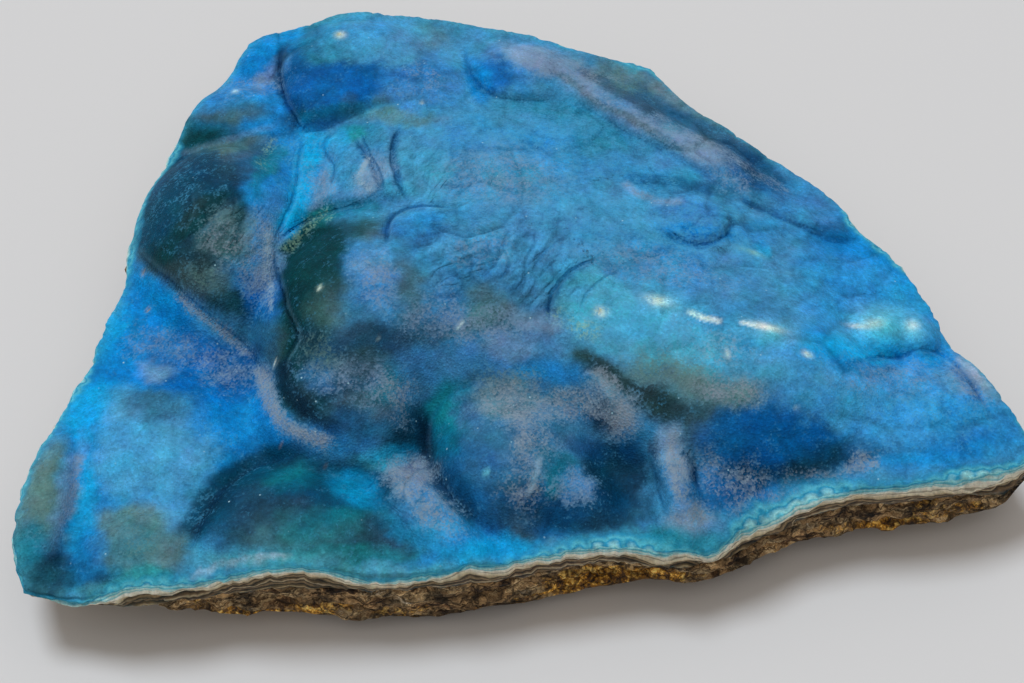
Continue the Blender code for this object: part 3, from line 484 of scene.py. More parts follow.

# Spots: painted glow of clear crystal lit from behind, as aqua halos round cream marks that are worn spots
# with painted highlight in them, along the crest of the main ridge and on the east knobs; small cream and
# ochre grains and a lime streak; and one dark pit painted as a spot of shade: colour, x, y, half length, half
# width, turn, strength
SPOTS = [
    ("aqua", 55, 3.4, 4.4, 3.4, 0, 0.6), ("aqua", 56, 4, 2.6, 2.4, 0, 0.5),
    ("cream", 55, 3.3, 1.8, 0.9, 10, 0.6), ("cream", 52.6, 2.9, 1.6, 0.4, -12, 0.7),
    ("aqua", 61, 2.6, 2.6, 3.2, 0, 0.75), ("cream", 61, 3.2, 1.1, 0.9, 0, 0.55),
    ("aqua", 23, 7.4, 3.8, 2.2, -15, 0.5), ("cream", 22.4, 7.8, 1.8, 0.9, -20, 0.85),
    ("cream", 13.6, 5.6, 1.0, 0.9, 0, 0.8), ("ochre", 13.4, 5.8, 0.5, 0.5, 0, 0.6),
    ("aqua", 40, 1.6, 4.6, 2.4, -15, 0.6), ("cream", 38.6, 2.7, 2.4, 0.6, -18, 0.9),
    ("cream", 44.6, -2.6, 0.9, 0.5, -40, 0.8), ("cream", 32.4, -2.4, 0.4, 0.9, 10, 0.6),
    ("cream", -29.6, 67.3, 0.9, 0.9, 0, 0.7), ("ochre", -29.8, 67.4, 0.45, 0.45, 0, 0.8),
    ("ochre", -57.4, 13.4, 0.3, 0.5, 30, 0.9), ("ochre", -55.9, 6.1, 0.3, 0.4, 0, 0.8),
    ("ochre", -44, -33, 0.2, 0.2, 0, 0.6), ("cream", -8, 3.2, 0.3, 0.8, -30, 0.9),
    ("cream", -29.8, 10.4, 0.35, 0.5, 0, 0.8), ("ochre", -33.6, -19.2, 0.2, 0.2, 0, 0.25),
    ("ochre", -27, -23, 0.2, 0.2, 0, 0.25), ("ochre", -15, -25, 0.4, 0.4, 0, 0.5),
    ("cream", -46.4, 53.4, 0.6, 0.5, 0, 0.6), ("cream", -35.6, -4.2, 0.25, 0.5, 0, 0.8),
    ("aqua", -3.6, -24.2, 0.5, 0.6, 0, 0.8), ("lime", 37.6, 17.8, 2.2, 0.5, -25, 0.5),
    ("navy", 32.6, 18.4, 1.2, 0.8, 0, 0.7), ("cream", -20.2, 0.6, 0.3, 0.3, 0, 0.6),
    ("cream", -15, 50.8, 0.35, 0.35, 0, 0.6), ("ochre", -33, -17.4, 0.2, 0.2, 0, 0.25),
    ("cream", 42, -12.8, 0.35, 0.35, 0, 0.5)]

# Powder on the skin in painting order: colour, then x, y, half length, half width, turn, amount of each
POWDER = [
    ("mist", [(20, 3, 10, 5, -15, 0.42), (30, -1, 8, 3.4, -15, 0.36)]),
    ("sky", [
        (2, 38, 26, 16, -6, 0.45), (18, 24, 24, 12, -20, 0.45), (56, -10, 18, 9, -6, 0.35),
        (-22, 64, 10, 6, 0, 0.3), (-50, -22, 10, 12, 0, 0.3), (-33, 36, 6, 10, 0, 0.4),
        (18, 3, 12, 7, -15, 0.5), (-52, 30, 7, 12, 0, 0.2)]),
    ("lilac", [
        (-21.4, 12, 4.2, 7.6, 24, 0.55), (-27, -6, 6, 5, 0, 0.5), (-21, -9, 3, 6, -10, 0.5),
        (-39.5, 17, 3.4, 11, 0, 0.7), (-4, 3, 8, 5, 0, 0.55), (-44, -5, 7, 4, -40, 0.5),
        (-52, -1, 8, 4, -20, 0.4), (-31, 32, 2.4, 6, 0, 0.6), (-23, 34, 3, 6, -25, 0.65),
        (9, -27, 3.4, 3.4, 0, 0.6), (-43, 55, 7, 3.4, 25, 0.4), (68, -8, 3, 6, 25, 0.6),
        (-12, 5, 6, 6, 0, 0.5), (57, -7, 9, 3, 0, 0.4), (4, 61, 7, 3.4, -30, 0.6), (-2, 34, 10, 6, 0, 0.3),
        (24, 14, 12, 4, -15, 0.3), (-15, 56, 5, 5, 0, 0.3), (-5, 18, 6, 5, 0, 0.35),
        (36, 33, 5, 3, -40, 0.4)]),
    ("sage", [
        (24, -6, 9, 4, -15, 0.7), (-46, 22, 4.6, 7, 20, 0.4), (-52, -36, 5, 4, 0, 0.35),
        (-67, -28, 2.4, 8, 0, 0.5), (-29, -2, 4, 4, 0, 0.4), (20, 56, 7, 4, -35, 0.35),
        (-48, 13, 4, 3, -30, 0.5), (-1, -8, 6, 4, 0, 0.45)]),
    ("ash", [
        (-15, -25, 4.6, 4, 0, 0.75), (-11, -31, 3.4, 6, 38, 0.6), (0, -12, 6, 5, 0, 0.7),
        (3, -19, 4, 5, 0, 0.6), (9, -12, 6, 4, 0, 0.65), (16.5, -14, 3.4, 4.6, 0, 0.8),
        (23.6, -23, 2.6, 8, 6, 0.9), (25, -31.6, 4.6, 3, 0, 0.7), (29, -24, 2.4, 5, 0, 0.5),
        (51, -22.4, 3, 2.2, 0, 0.6), (33, -27, 4, 5, 0, 0.45), (32, -9.6, 6, 3.6, -10, 0.65),
        (44, -25, 6, 1.6, 5, 0.34), (38, -28.6, 4, 1.4, 20, 0.4), (2, -27, 4, 5, 0, 0.4),
        (14, -8, 4, 2, -40, 0.65), (-45, 19, 3, 6, 25, 0.34), (-21, 14, 3, 4, 0, 0.3),
        (-17, -11, 3, 6, 0, 0.4), (12, 57.6, 5, 3, -35, 0.5)])]

# Streaks of powder: colour, half width, amount, points
POWDER_STROKES = [
    ("ash", 1.3, 0.85, [(-38.4, -3), (-37, -7), (-35.6, -12), (-32.6, -16), (-28, -18.6), (-25, -20)]),
    ("ash", 0.8, 0.7, [(-53, 10.4), (-49, 6.4), (-45, 3), (-41.4, -0.6), (-38.4, -4)]),
    ("lilac", 0.9, 0.7, [(-62.6, -20), (-62.8, -27), (-63.6, -34)]),
    ("lilac", 2.0, 0.42, [
        (2, 64.4), (8, 58.6), (13, 54), (18, 49.2), (23, 45.2), (29, 41), (34, 36.8), (37, 32.6)]),
    ("lilac", 0.8, 0.5, [(22, 50), (28, 44.6), (34, 40), (40, 34.6), (46, 28.6)]),
    ("lime", 1.1, 0.36, [(-27.6, 26.4), (-31.4, 24.2), (-34, 21), (-35.6, 17)]),
    ("lime", 0.9, 0.26, [(-38.6, 43), (-40.4, 39), (-41.2, 35)]),
    ("lime", 1.4, 0.42, [(14, 1.4), (9.6, 2.4), (7.4, 4.2), (6, 6.6)]),
    ("lilac", 0.6, 0.6, [(17.6, 33), (20, 30.4), (24, 28.4), (28, 28.8)]),
    ("mist", 0.5, 0.9, [(-21.4, 30), (-24, 32), (-24.6, 35), (-22.6, 39)]),
    ("mist", 0.5, 0.8, [(-38.2, 24), (-38.6, 18), (-37.6, 11), (-36.8, 5)])]

# Thin cracks beside the folds: strength, points
CRACKS = [
    (0.9, [(-20.8, 30), (-21, 33.6), (-22.6, 37.6), (-24.4, 42), (-26, 45)]),
    (0.8, [(-16.5, 28), (-18.4, 32), (-19.6, 37), (-19.6, 42), (-18, 46)]),
    (0.7, [(-29.5, 31), (-29, 36), (-31, 41), (-28.6, 45)]),
    (0.9, [(-9, 27.3), (-14, 27.6), (-17.6, 26.6), (-19.6, 24), (-19.8, 19)]),
    (0.9, [(14.6, 17), (10, 14.7), (7.2, 11.7), (5.6, 8), (5.6, 3)]),
    (0.7, [(17.4, 14.6), (13.6, 12), (11.2, 8.6), (10.6, 5.6)]),
    (0.5, [(0.6, 24), (-1.4, 19.6), (-0.6, 15), (-2.6, 10.6)]),
    (0.5, [(-5.6, 16.6), (-6.4, 13), (-4, 10.4)]),
    (0.5, [(9.6, 22), (5.4, 18), (2.4, 12.6)]),
    (0.4, [(-12, 30), (-14.6, 34), (-11, 36)]),
    (0.5, [(24.4, -19.6), (26, -22.6), (26.6, -26.4), (27.4, -29.4)]),
    (0.3, [(20.4, -16.5), (20.2, -22), (21, -28), (22, -33)]),
    (0.5, [
        (71, -15), (69.5, -11), (67.5, -6), (64.5, -2.4), (61, -1.6), (58.5, -3.2), (55, -3), (51.5, -4)]),
    (0.8, [(-39, 66.4), (-39.6, 60), (-38.7, 54), (-36.7, 48.5), (-34.5, 45), (-30.5, 46)]),
    (0.5, [(24, 23.5), (27, 20.2), (31, 19.6), (34.2, 21.8), (35, 24.6)]),
    (0.35, [(-8, 66), (-7.6, 60), (-6, 55.5), (-2.5, 52.3), (4, 51.2), (9, 52.2)]),
    (0.2, [(6, 50.6), (12, 49.4), (18, 44.6), (24, 40), (30, 35), (35, 31), (40, 27.6)]),
    (0.9, [
        (-19, 29.2), (-27, 27.3), (-33, 24.2), (-37, 19.5), (-36.2, 12), (-34.2, 5), (-32.6, 0.5),
        (-34.4, -5), (-33, -10)]),
    (0.8, [(-34.2, 45), (-35, 37), (-35, 30), (-37, 22), (-36.8, 17)]),
    (0.7, [(-60, 19.6), (-57.5, 16.2), (-53, 11.8), (-49, 7.8), (-44, 2.8), (-40, -1.2), (-36.8, -5.7)]),
    (0.5, [(-52, 30.6), (-51.4, 26), (-52.6, 21)]),
    (0.5, [(-45, 30), (-44.6, 26), (-46.4, 22), (-47.6, 19)]),
    (0.5, [(-42, 27), (-43.4, 22.6), (-43, 18)]),
    (0.5, [(-49.6, 28), (-48.6, 24.4), (-50, 20.4)]),
    (0.3, [(36, 29.2), (40, 26.3), (45, 23.2), (50, 20)]),
    (0.3, [(40, 33), (44, 30.6), (49, 28.6)]),
    (0.5, [(-13, -23), (-15.4, -26.4), (-15, -30)]),
    (0.3, [(-12.2, -12), (-12.6, -17), (-11.8, -23), (-8.4, -29), (-3.4, -34)])]

# Growth bands of the broken edge from the skin down: depth in millimetres and colour
BANDS = [
    (0.0, "#1C98C6"), (0.35, "#5CBFD2"), (0.5, "#1F8FB8"), (0.8, "#9ADADD"), (0.95, "#4FB0C6"),
    (1.2, "#CBE9E2"), (1.4, "#7FC4CC"), (1.6, "#F0F1E2"), (2.05, "#E9E3CC"), (2.2, "#9A917C"),
    (2.35, "#EFE6CD"), (2.75, "#CDBB96"), (2.9, "#4A3B2B"), (3.1, "#A28B68"), (3.3, "#2E241A"),
    (3.6, "#7B6548"), (3.8, "#C7B592"), (3.95, "#3D3022"), (4.3, "#8B7352"), (4.6, "#2A2018"),
    (5.0, "#75603F"), (5.2, "#B8A27A"), (5.4, "#4B3B28"), (5.9, "#7D6747"), (6.2, "#30261B"),
    (6.5, "#6B573C")]

# Golden limonite in the broken rock of the front: x, height, half length, half height, strength
LIMONITE = [
    (13, 6.2, 8.5, 2.2, 1.0), (10, 4.0, 6, 1.6, 0.9), (22, 6.2, 4, 1.2, 0.7), (-33, 3.8, 8, 0.9, 0.9),
    (-27, 5.0, 6, 0.8, 0.5), (-40, 4.6, 4, 0.8, 0.6), (56, 4.6, 8, 0.8, 0.6), (66, 5.8, 5, 0.7, 0.45),
    (4, 4.2, 4, 0.9, 0.6), (-16, 4.4, 5, 0.7, 0.4), (47, 5.4, 4, 0.6, 0.3), (30, 5.6, 4, 0.7, 0.3)]


def linear(code):
    """Linear red, green and blue of an sRGB hex colour."""
    share = np.array([int(code[start:start + 2], 16) for start in (1, 3, 5)]) / 255
    return np.where(share <= 0.04045, share / 12.92, ((share + 0.055) / 1.055) ** 2.4)


def sight(plan_points, height):
    """Moves plan points along the line of sight from the reading level to a height."""
    share = (EYE[2] - height) / (EYE[2] - READING_LEVEL)
    return EYE[:2] + (plan_points - EYE[:2]) * np.asarray(share)[..., None]


def reading(at, height):
    """The other way round: where points at a height are seen on the reading level."""
    share = (EYE[2] - READING_LEVEL) / (EYE[2] - height)
    return EYE[:2] + (at - EYE[:2]) * np.asarray(share)[..., None]


def ease(value):
    """An even step from 0 to 1."""
    value = np.clip(value, 0, 1)
    return value ** 2 * (3 - 2 * value)


def noise(at, size, seed=0):
    """Gradient noise from about -1 to 1: random slopes on a lattice of the given size, eased in between."""
    slopes = np.random.default_rng(7).normal(size=(4096, 3))
    slopes /= np.linalg.norm(slopes, axis=1)[:, None]
    if at.shape[1] == 2:
        at = np.column_stack([at, np.zeros(len(at))])
    grid = at / size + 31.7 * (seed + 1)
    cell = np.floor(grid).astype(np.int64)
    part = grid - cell
    soft = part ** 3 * (part * (part * 6 - 15) + 10)
    total = np.zeros(len(at))
    for corner in np.ndindex(2, 2, 2):
        spot = cell + corner
        key = (spot[:, 0] * 73856093) ^ (spot[:, 1] * 19349663) ^ (spot[:, 2] * 83492791)
        slope = ((part - corner) * slopes[key & 4095]).sum(axis=1)
        total += slope * np.prod(np.where(np.array(corner) > 0, soft, 1 - soft), axis=1)
    return 1.6 * total


def noises(at, size, seeds):
    """Several noises of one size, as columns."""
    return np.column_stack([noise(at, size, seed) for seed in seeds])


def layered(at, *layers):
    """Noises laid over one another: amount, size and seed of each."""
    return sum(amount * noise(at, size, seed) for amount, size, seed in layers)


def stretched(at, turn, along, across):
    """Plan points turned by degrees and divided by a size along and a size across."""
    cos, sin = math.cos(math.radians(turn)), math.sin(math.radians(turn))
    return at @ np.array([[cos / along, -sin / across], [sin / along, cos / across]])


def thin_plate(points, heights, slack=20.0):
    """Returns the height function of a thin plate bent through the points, by the r^2 log r spline."""
    def bend(at):
        square = ((at[:, None] - points[None]) ** 2).sum(-1)
        return 0.5 * square * np.log(np.maximum(square, 1e-9))

    count = len(points)
    tilt = np.column_stack([np.ones(count), points])
    system = np.block([[bend(points) + slack * np.eye(count), tilt], [tilt.T, np.zeros((3, 3))]])
    weights = np.linalg.solve(system, np.append(heights, [0, 0, 0]))

    def height(at):
        return bend(at) @ weights[:count] + weights[count] + at @ weights[count + 1:]

    return height


def smooth_line(points, share):
    """Points at the given shares of the length of a Catmull-Rom line through the points."""
    knots = np.array(points, float)
    knots = np.vstack([2 * knots[0] - knots[1], knots, 2 * knots[-1] - knots[-2]])
    spans = len(points) - 1
    place = np.linspace(0, spans, 24 * spans + 1)
    index = np.minimum(place.astype(int), spans - 1)
    part = (place - index)[:, None]
    a, b, c, d = knots[index], knots[index + 1], knots[index + 2], knots[index + 3]
    bend, twist = a - 2.5 * b + 2 * c - 0.5 * d, 1.5 * (b - c) + 0.5 * (d - a)
    line = b + part * (c - a) / 2 + part ** 2 * bend + part ** 3 * twist
    run = np.append(0, np.cumsum(np.linalg.norm(np.diff(line, axis=0), axis=1)))
    return np.column_stack([np.interp(share * run[-1], run, line[:, axis]) for axis in (0, 1)])


def plan(u, v):
    """Plan points between the four sides of the outline (a Coons patch), for u and v from 0 to 1."""
    front, north = smooth_line(FRONT, u), smooth_line(NORTH, u)
    west, east = smooth_line(WEST, v), smooth_line(EAST, v)
    u, v = u[:, None], v[:, None]
    south_west, south_east, north_west, north_east = map(np.array, (FRONT[0], FRONT[-1], NORTH[0], NORTH[-1]))
    corners = ((1 - u) * (1 - v) * south_west + u * (1 - v) * south_east
               + (1 - u) * v * north_west + u * v * north_east)
    return (1 - v) * front + v * north + (1 - u) * west + u * east - corners


def beside(at, points, reach):
    """Plan points within reach of a smooth line: their indices, distance, share along it, and whether they
    lie on its left."""
    line = smooth_line(points, np.linspace(0, 1, 5 * len(points)))
    pick = np.flatnonzero(((at > line.min(axis=0) - reach) & (at < line.max(axis=0) + reach)).all(axis=1))
    start, step = line[:-1], np.diff(line, axis=0)
    away = at[pick, None] - start[None]
    share = np.clip((away * step).sum(-1) / (step ** 2).sum(-1), 0, 1)
    gap = np.linalg.norm(away - share[..., None] * step, axis=-1)
    near = gap.argmin(axis=1)
    row = np.arange(len(pick))
    offset, run = away[row, near], step[near]
    left = run[:, 0] * offset[:, 1] - run[:, 1] * offset[:, 0] >= 0
    return pick, gap[row, near], (near + share[row, near]) / len(step), left


def faded(place, share):
    """1 along a line, easing to 0 over a share of its length at both ends."""
    return ease(np.minimum(place, 1 - place) / share)


def oval(at, x, y, half_length, half_width, turn):
    """Distance from the middle of a turned oval, 1 on its edge."""
    away = at - np.array([x, y])
    cos, sin = math.cos(math.radians(turn)), math.sin(math.radians(turn))
    length = (away[:, 0] * cos + away[:, 1] * sin) / half_length
    width = (away[:, 1] * cos - away[:, 0] * sin) / half_width
    return np.hypot(length, width)


def body_height(at, ground):
    """Ground and lobes as one rounded surface: a soft maximum of them all. Each lobe is a cushion, whose
    height falls from the crown by a drop times a blend of the second and fourth power of the distance."""
    layers = [ground(at)]
    for x, y, half_length, half_width, turn, crown, drop in LOBES.values():
        middle = sight(np.array([x, y]), crown)
        reach = np.minimum(oval(at, *middle, half_length, half_width, turn) ** 2, 6.0)
        layers.append(crown - drop * (0.7 * reach + 0.3 * reach ** 2))
    top = np.max(layers, axis=0)
    return top + SOFTNESS * np.log(np.exp((np.array(layers) - top) / SOFTNESS).sum(axis=0))


def cushion_border(seen):
    """Distance in millimetres to the border of low rounded cushions: the gap between the two nearest of
    scattered middles, one in each cell of a lattice bent by noise."""
    at = seen / CUSHION_SIZE + 0.3 * noises(seen, 7.0, (91, 92))
    scatter = np.random.default_rng(11).uniform(0.1, 0.9, size=(1024, 2))
    cell = np.floor(at).astype(np.int64)
    first, second = np.full(len(at), 9.0), np.full(len(at), 9.0)
    for step in np.ndindex(3, 3):
        spot = cell + np.array(step) - 1
        key = (spot[:, 0] * 73856093) ^ (spot[:, 1] * 19349663)
        gap = np.linalg.norm(at - spot - scatter[key & 1023], axis=1)
        second = np.minimum(second, np.maximum(first, gap))
        first = np.minimum(first, gap)
    return (second - first) * CUSHION_SIZE


def relief(at, ground):
    """Height of the upper side, how deep in a crease a point lies, from 0 to 1, which the crust's colour
    takes as
    painted shade, and its small relief: the body, plus a step along each fold, plus winding creases in the
    crinkled places, plus low cushions on the plateau and at the north-east, plus low noise."""
    height = body_height(at, ground)
    seen = reading(at, height)
    crease = np.zeros(len(at))
    for rise, sink, width, fade, points in FOLDS.values():
        pick, distance, place, left = beside(seen, points, 2.4 * fade)
        wobble = 1 + 0.25 * noise(seen[pick], 3.0, 3)
        ends = faded(place, FOLD_ENDS)
        width *= FINER_FOLDS
        swell = rise * (1 - np.exp(-distance / width)) * np.exp(-(distance / fade) ** 2)
        groove = -sink * wobble * np.exp(-distance / (2 * width))
        height[pick] += ends * np.where(left, swell + groove * np.exp(-distance / width), groove)
        # How deep in the fold's crease a point lies, which the crust's colour takes as painted shade
        shade = ends * min(1.0, sink) * np.exp(-(distance / (0.5 * width)) ** 2)
        crease[pick] = np.maximum(crease[pick], shade)
    bent = seen + 1.3 * noises(seen, 6.0, (5, 6))
    small = np.zeros(len(at))
    for x, y, half_length, half_width, turn, along, across, depth in CRINKLES:
        inside = ease(1.6 * (1.25 - oval(seen, x, y, half_length, half_width, 0)))
        pick = np.flatnonzero(inside > 0)
        place = stretched(bent[pick], turn, along, across)
        wave = noise(place, 1.0, 11)
        fine = noise(place, 0.45, 12)
        line = np.exp(-(wave / CREASE_LINE) ** 2) * ease(0.75 + noise(place, 2.2, 13))
        small[pick] += inside[pick] * depth * (0.7 * wave + 0.3 * fine - 1.0 * line)
        # The crinkles' crease lines give painted shade too
        crease[pick] = np.maximum(crease[pick], 0.3 * inside[pick] * line)
    lively = ease(0.6 + 0.9 * noise(seen, 18.0, 93)) * ease((seen[:, 0] + seen[:, 1] + 5) / 25)
    small += CUSHION_RISE * lively * (0.3 - np.exp(-cushion_border(seen) / CUSHION_GROOVE))
    small += layered(seen, (0.11, 3.2, 22), (0.05, 1.4, 23))
    return height + small + 0.22 * noise(seen, 8.0, 21), crease, small


def rim_shape(at):
    """Height and jut of the underside at the rim: the mean of RIM, weighted by nearness."""
    rim = np.array(RIM, float)
    weight = 1 / (((at[:, None] - rim[None, :, :2]) ** 2).sum(-1) + 4.0) ** 2
    return (weight @ rim[:, 2:] / weight.sum(axis=1)[:, None]).T


def parting_height(at, ground, crust_depth):
    """Where crust and rock meet: the ground less the crust's depth, levelled off softly at the cap."""
    depth = ground(at) - crust_depth
    return depth - np.log1p(np.exp(depth - PARTING_CAP))


def inward(u, v, share):
    """u and v drawn towards the middle of the outline by a share."""
    return 0.5 + (u - 0.5) * share, 0.5 + (v - 0.5) * share


def edge_place(u, v, depth, share=1.0):
    """Plan points of the broken edge at a depth from 0, its top, to 1, the underside. The outline is drawn
    in or out by the jut and by ledges, two sines of the way round and of the depth, and scaled by share."""
    way = np.arctan2(2 * v - 1, 2 * u - 1)
    ledge = np.sin(31 * way + 9 * depth) * np.sin(13 * way - 5 * depth) + 0.6 * np.sin(25 * depth)
    jut = rim_shape(plan(u, v))[1]
    ledges = LEDGE_DEPTH * ledge * 4 * depth * (1 - depth)
    scale = share * (1 + (jut * ease((depth - JUT_START) / JUT_SPAN) + ledges) / HALF_SPAN)
    return plan(*inward(u, v, scale))


def under_height(u, v):
    """Height of the underside: flat in the middle, rising by an even step to the rim."""
    out = 1 - (1 - np.abs(2 * u - 1) ** 3) * (1 - np.abs(2 * v - 1) ** 3)
    rim = rim_shape(plan(u, v))[0]
    return rim * ease((out - FOOT_SHARE) / (1 - FOOT_SHARE))


def grid_places(columns, rows):
    """u and v of a grid's points, row by row."""
    u, v = np.meshgrid(np.linspace(0, 1, columns + 1), np.linspace(0, 1, rows + 1))
    return u.ravel(), v.ravel()


def border(columns, rows):
    """Indices of a grid's border points, once round."""
    index = np.arange((columns + 1) * (rows + 1)).reshape(rows + 1, columns + 1)
    return np.concatenate([index[0], index[1:, -1], index[-1, -2::-1], index[-2:0:-1, 0]])


def outward(ring):
    """Unit normals in plan of a closed ring of points that runs anticlockwise."""
    run = np.roll(ring, -2, axis=0) - np.roll(ring, 2, axis=0)
    normal = np.column_stack([run[:, 1], -run[:, 0]])
    return normal / np.linalg.norm(normal, axis=1)[:, None]


def closed_faces(columns, rows, count, faces_up):
    """Faces of a closed body of count points: a grid, rings that run on from its border, and a point in the
    middle of the last ring."""
    index = np.arange((columns + 1) * (rows + 1)).reshape(rows + 1, columns + 1)
    quads = [np.stack([index[:-1, :-1], index[:-1, 1:], index[1:, 1:], index[1:, :-1]], -1).reshape(-1, 4)]
    edge = border(columns, rows)
    rings = (count - 1 - index.size) // len(edge)
    lines = [edge] + [index.size + len(edge) * step + np.arange(len(edge)) for step in range(rings)]
    for upper, lower in zip(lines, lines[1:]):
        quads.append(np.stack([upper, lower, np.roll(lower, -1), np.roll(upper, -1)], -1))
    last = lines[-1]
    fan = np.stack([last, np.full(len(last), index.size + len(edge) * rings), np.roll(last, -1)], -1)
    quads = np.vstack(quads)
    if not faces_up:
        quads, fan = quads[:, ::-1], fan[:, ::-1]
    return quads.tolist() + fan.tolist()


def new_piece(name, points, faces, node, material):
    """A mesh object with its place in its mesh, which stands for a CAD node and rides on the body."""
    mesh = bpy.data.meshes.new(name)
    mesh.from_pydata((inside_box(points) * MM).tolist(), [], faces)
    mesh.shade_smooth()
    mesh.materials.append(material)
    piece = bpy.data.objects.new(name, mesh)
    bpy.context.scene.collection.objects.link(piece)
    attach(piece, "root")
    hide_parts(node)
    return mesh


def inside_box(points):
    """Points moved to the row frame and, where they would stand out of the CAD box, scaled to its sides."""
    placed = points - np.append(PLAN_MIDDLE, 0)
    low, high = np.array(CAD_BOX[0]) / MM, np.array(CAD_BOX[1]) / MM
    scale = np.ones(3)
    for axis in range(3):
        for side, reach in ((low, placed[:, axis].min()), (high, placed[:, axis].max())):
            if abs(reach) > abs(side[axis]) > 1e-6:
                scale[axis] = min(scale[axis], abs(side[axis] / reach))
    return placed * scale


def paint(mesh, name, values):
    """Stores one number, or three as a colour, for each point of a mesh."""
    colour = values.ndim == 2
    layer = mesh.attributes.new(name, "FLOAT_COLOR" if colour else "FLOAT", "POINT")
    if colour:
        values = np.column_stack([values, np.ones(len(values))])
    layer.data.foreach_set("color" if colour else "value", np.ascontiguousarray(values.ravel(), np.float32))


def lay_over(colours, pick, name, weight):
    """Lays a palette colour over the picked points of an array of colours, by weight."""
    weight = weight[:, None]
    colours[pick] = colours[pick] * (1 - weight) + linear(PALETTE[name]) * weight


def drawn_places(seen):
    """Places drawn aside by noise of three sizes, so that what is laid by them gets a ragged edge."""
    return seen + (1.3 * noises(seen, 5.5, (31, 32)) + 0.8 * noises(seen, 1.9, (33, 34))
                   + 0.5 * noises(seen, 1.0, (35, 36)))


def crust_colours(seen, crease, small):
    """Colour of the crust: soft patches, strokes and spots laid over one another, with dark and light drawn
    apart and a little noise in tone and hue, with painted shade in the creases and the small hollows and
    painted light on the small ridges."""
    drawn = drawn_places(seen)
    colours = np.tile(linear(PALETTE["steel"]), (len(seen), 1))
    for name, patches in PATCHES:
        for *shape, strength in patches:
            blur = np.clip(PATCH_BLUR / min(shape[2:4]), 0.4, 1.0)
            weight = strength * ease((1 + blur / 2 - oval(drawn, *shape)) / blur)
            pick = np.flatnonzero(weight)
            lay_over(colours, pick, name, weight[pick])
    slight = seen + STROKE_WAVER * (drawn - seen)
    for name, half_width, strength, points in STROKES:
        pick, distance, place, _ = beside(slight, points, 2 * half_width)
        ends = faded(place, 0.15)
        lay_over(colours, pick, name, strength * ends * ease(1.5 - distance / half_width))
    for name, *shape, strength in SPOTS:
        weight = strength * np.exp(-1.1 * oval(seen + SPOT_WAVER * (slight - seen), *shape) ** 2)
        weight[weight < 0.02] = 0
        pick = np.flatnonzero(weight)
        lay_over(colours, pick, name, weight[pick])
    colours *= (colours.mean(axis=1, keepdims=True) / MIDDLE_TONE) ** TONE_POWER
    tone = 1 + 0.09 * noise(seen, 5.0, 41) + 0.09 * noise(seen, 2.0, 42)
    hue = noises(seen, 4.0, (44, 45, 46)) + 0.6 * noises(seen, 1.6, (47, 48, 49))
    colours *= np.exp(hue * [0.30, 0.10, 0.06])
    # Painted light and shade: paler on the small ridges and darker in the small hollows, then darker in the
    # creases
    tone *= np.exp(np.clip(small, -0.5, 0.4))
    colours *= tone[:, None] * (1 - crease[:, None] * (1 - CREASE_SHADE))
    return np.clip(colours * INNER_BLUE, 0, 1)


def crust_powder(seen, small):
    """Colour and amount of the powder: patches and streaks, thicker on the small ridges."""
    drawn = drawn_places(seen)
    colours = np.tile(linear(PALETTE["sky"]), (len(seen), 1))
    amount = np.zeros(len(seen))
    for name, patches in POWDER:
        for *shape, most in patches:
            weight = ease((1.5 - oval(drawn, *shape)) / 1.1)
            pick = np.flatnonzero(weight)
            lay_over(colours, pick, name, weight[pick])
            amount[pick] = np.maximum(amount[pick], most * weight[pick])
    slight = seen + STROKE_WAVER * (drawn - seen)
    for name, half_width, most, points in POWDER_STROKES:
        pick, distance, place, _ = beside(slight, points, 2 * half_width)
        ends = faded(place, 0.12)
        weight = ends * ease((2 - distance / half_width) / 1.6)
        lay_over(colours, pick, name, weight)
        amount[pick] = np.maximum(amount[pick], most * weight)
    return colours, np.clip(amount + 0.6 * np.clip(small, -0.4, 0.4), 0, 1)


def crust_cracks(seen):
    """Distance to the nearest crack in millimetres, below 0 on its right, and its strength near it."""
    gap = np.full(len(seen), CRACK_REACH)
    strength = np.zeros(len(seen))
    for most, points in CRACKS:
        pick, distance, place, left = beside(seen, points, CRACK_REACH)
        nearer = distance < np.abs(gap[pick])
        pick, distance, place, left = pick[nearer], distance[nearer], place[nearer], left[nearer]
        gap[pick] = np.where(left, distance, -distance)
        ends = faded(place, 0.2)
        strength[pick] = most * ends * ease((CRACK_REACH - distance) / 0.6)
    return gap, strength


def crust_wrinkles(seen):
    """Places for the wrinkle pattern, turned and stretched as in the strongest crinkled place, and its
    strength, which fades where two of them meet."""
    places = np.zeros((len(seen), 3))
    places[:, :2] = seen / 2.0
    most, second = np.zeros(len(seen)), np.zeros(len(seen))
    for number, (x, y, half_length, half_width, turn, along, across, depth) in enumerate(CRINKLES):
        inside = ease(1.4 * (1.2 - oval(seen, x, y, half_length, half_width, 0))) * min(1.0, depth / 0.3)
        second = np.maximum(second, np.minimum(most, inside))
        pick = np.flatnonzero(inside > most)
        turned = stretched(seen[pick], turn, along, across)
        places[pick] = np.column_stack([turned, np.full(len(pick), 5.0 * number)])
        most[pick] = inside[pick]
    return places, most * ease(3 * (most - second) / np.maximum(most, 0.01) - 0.6)


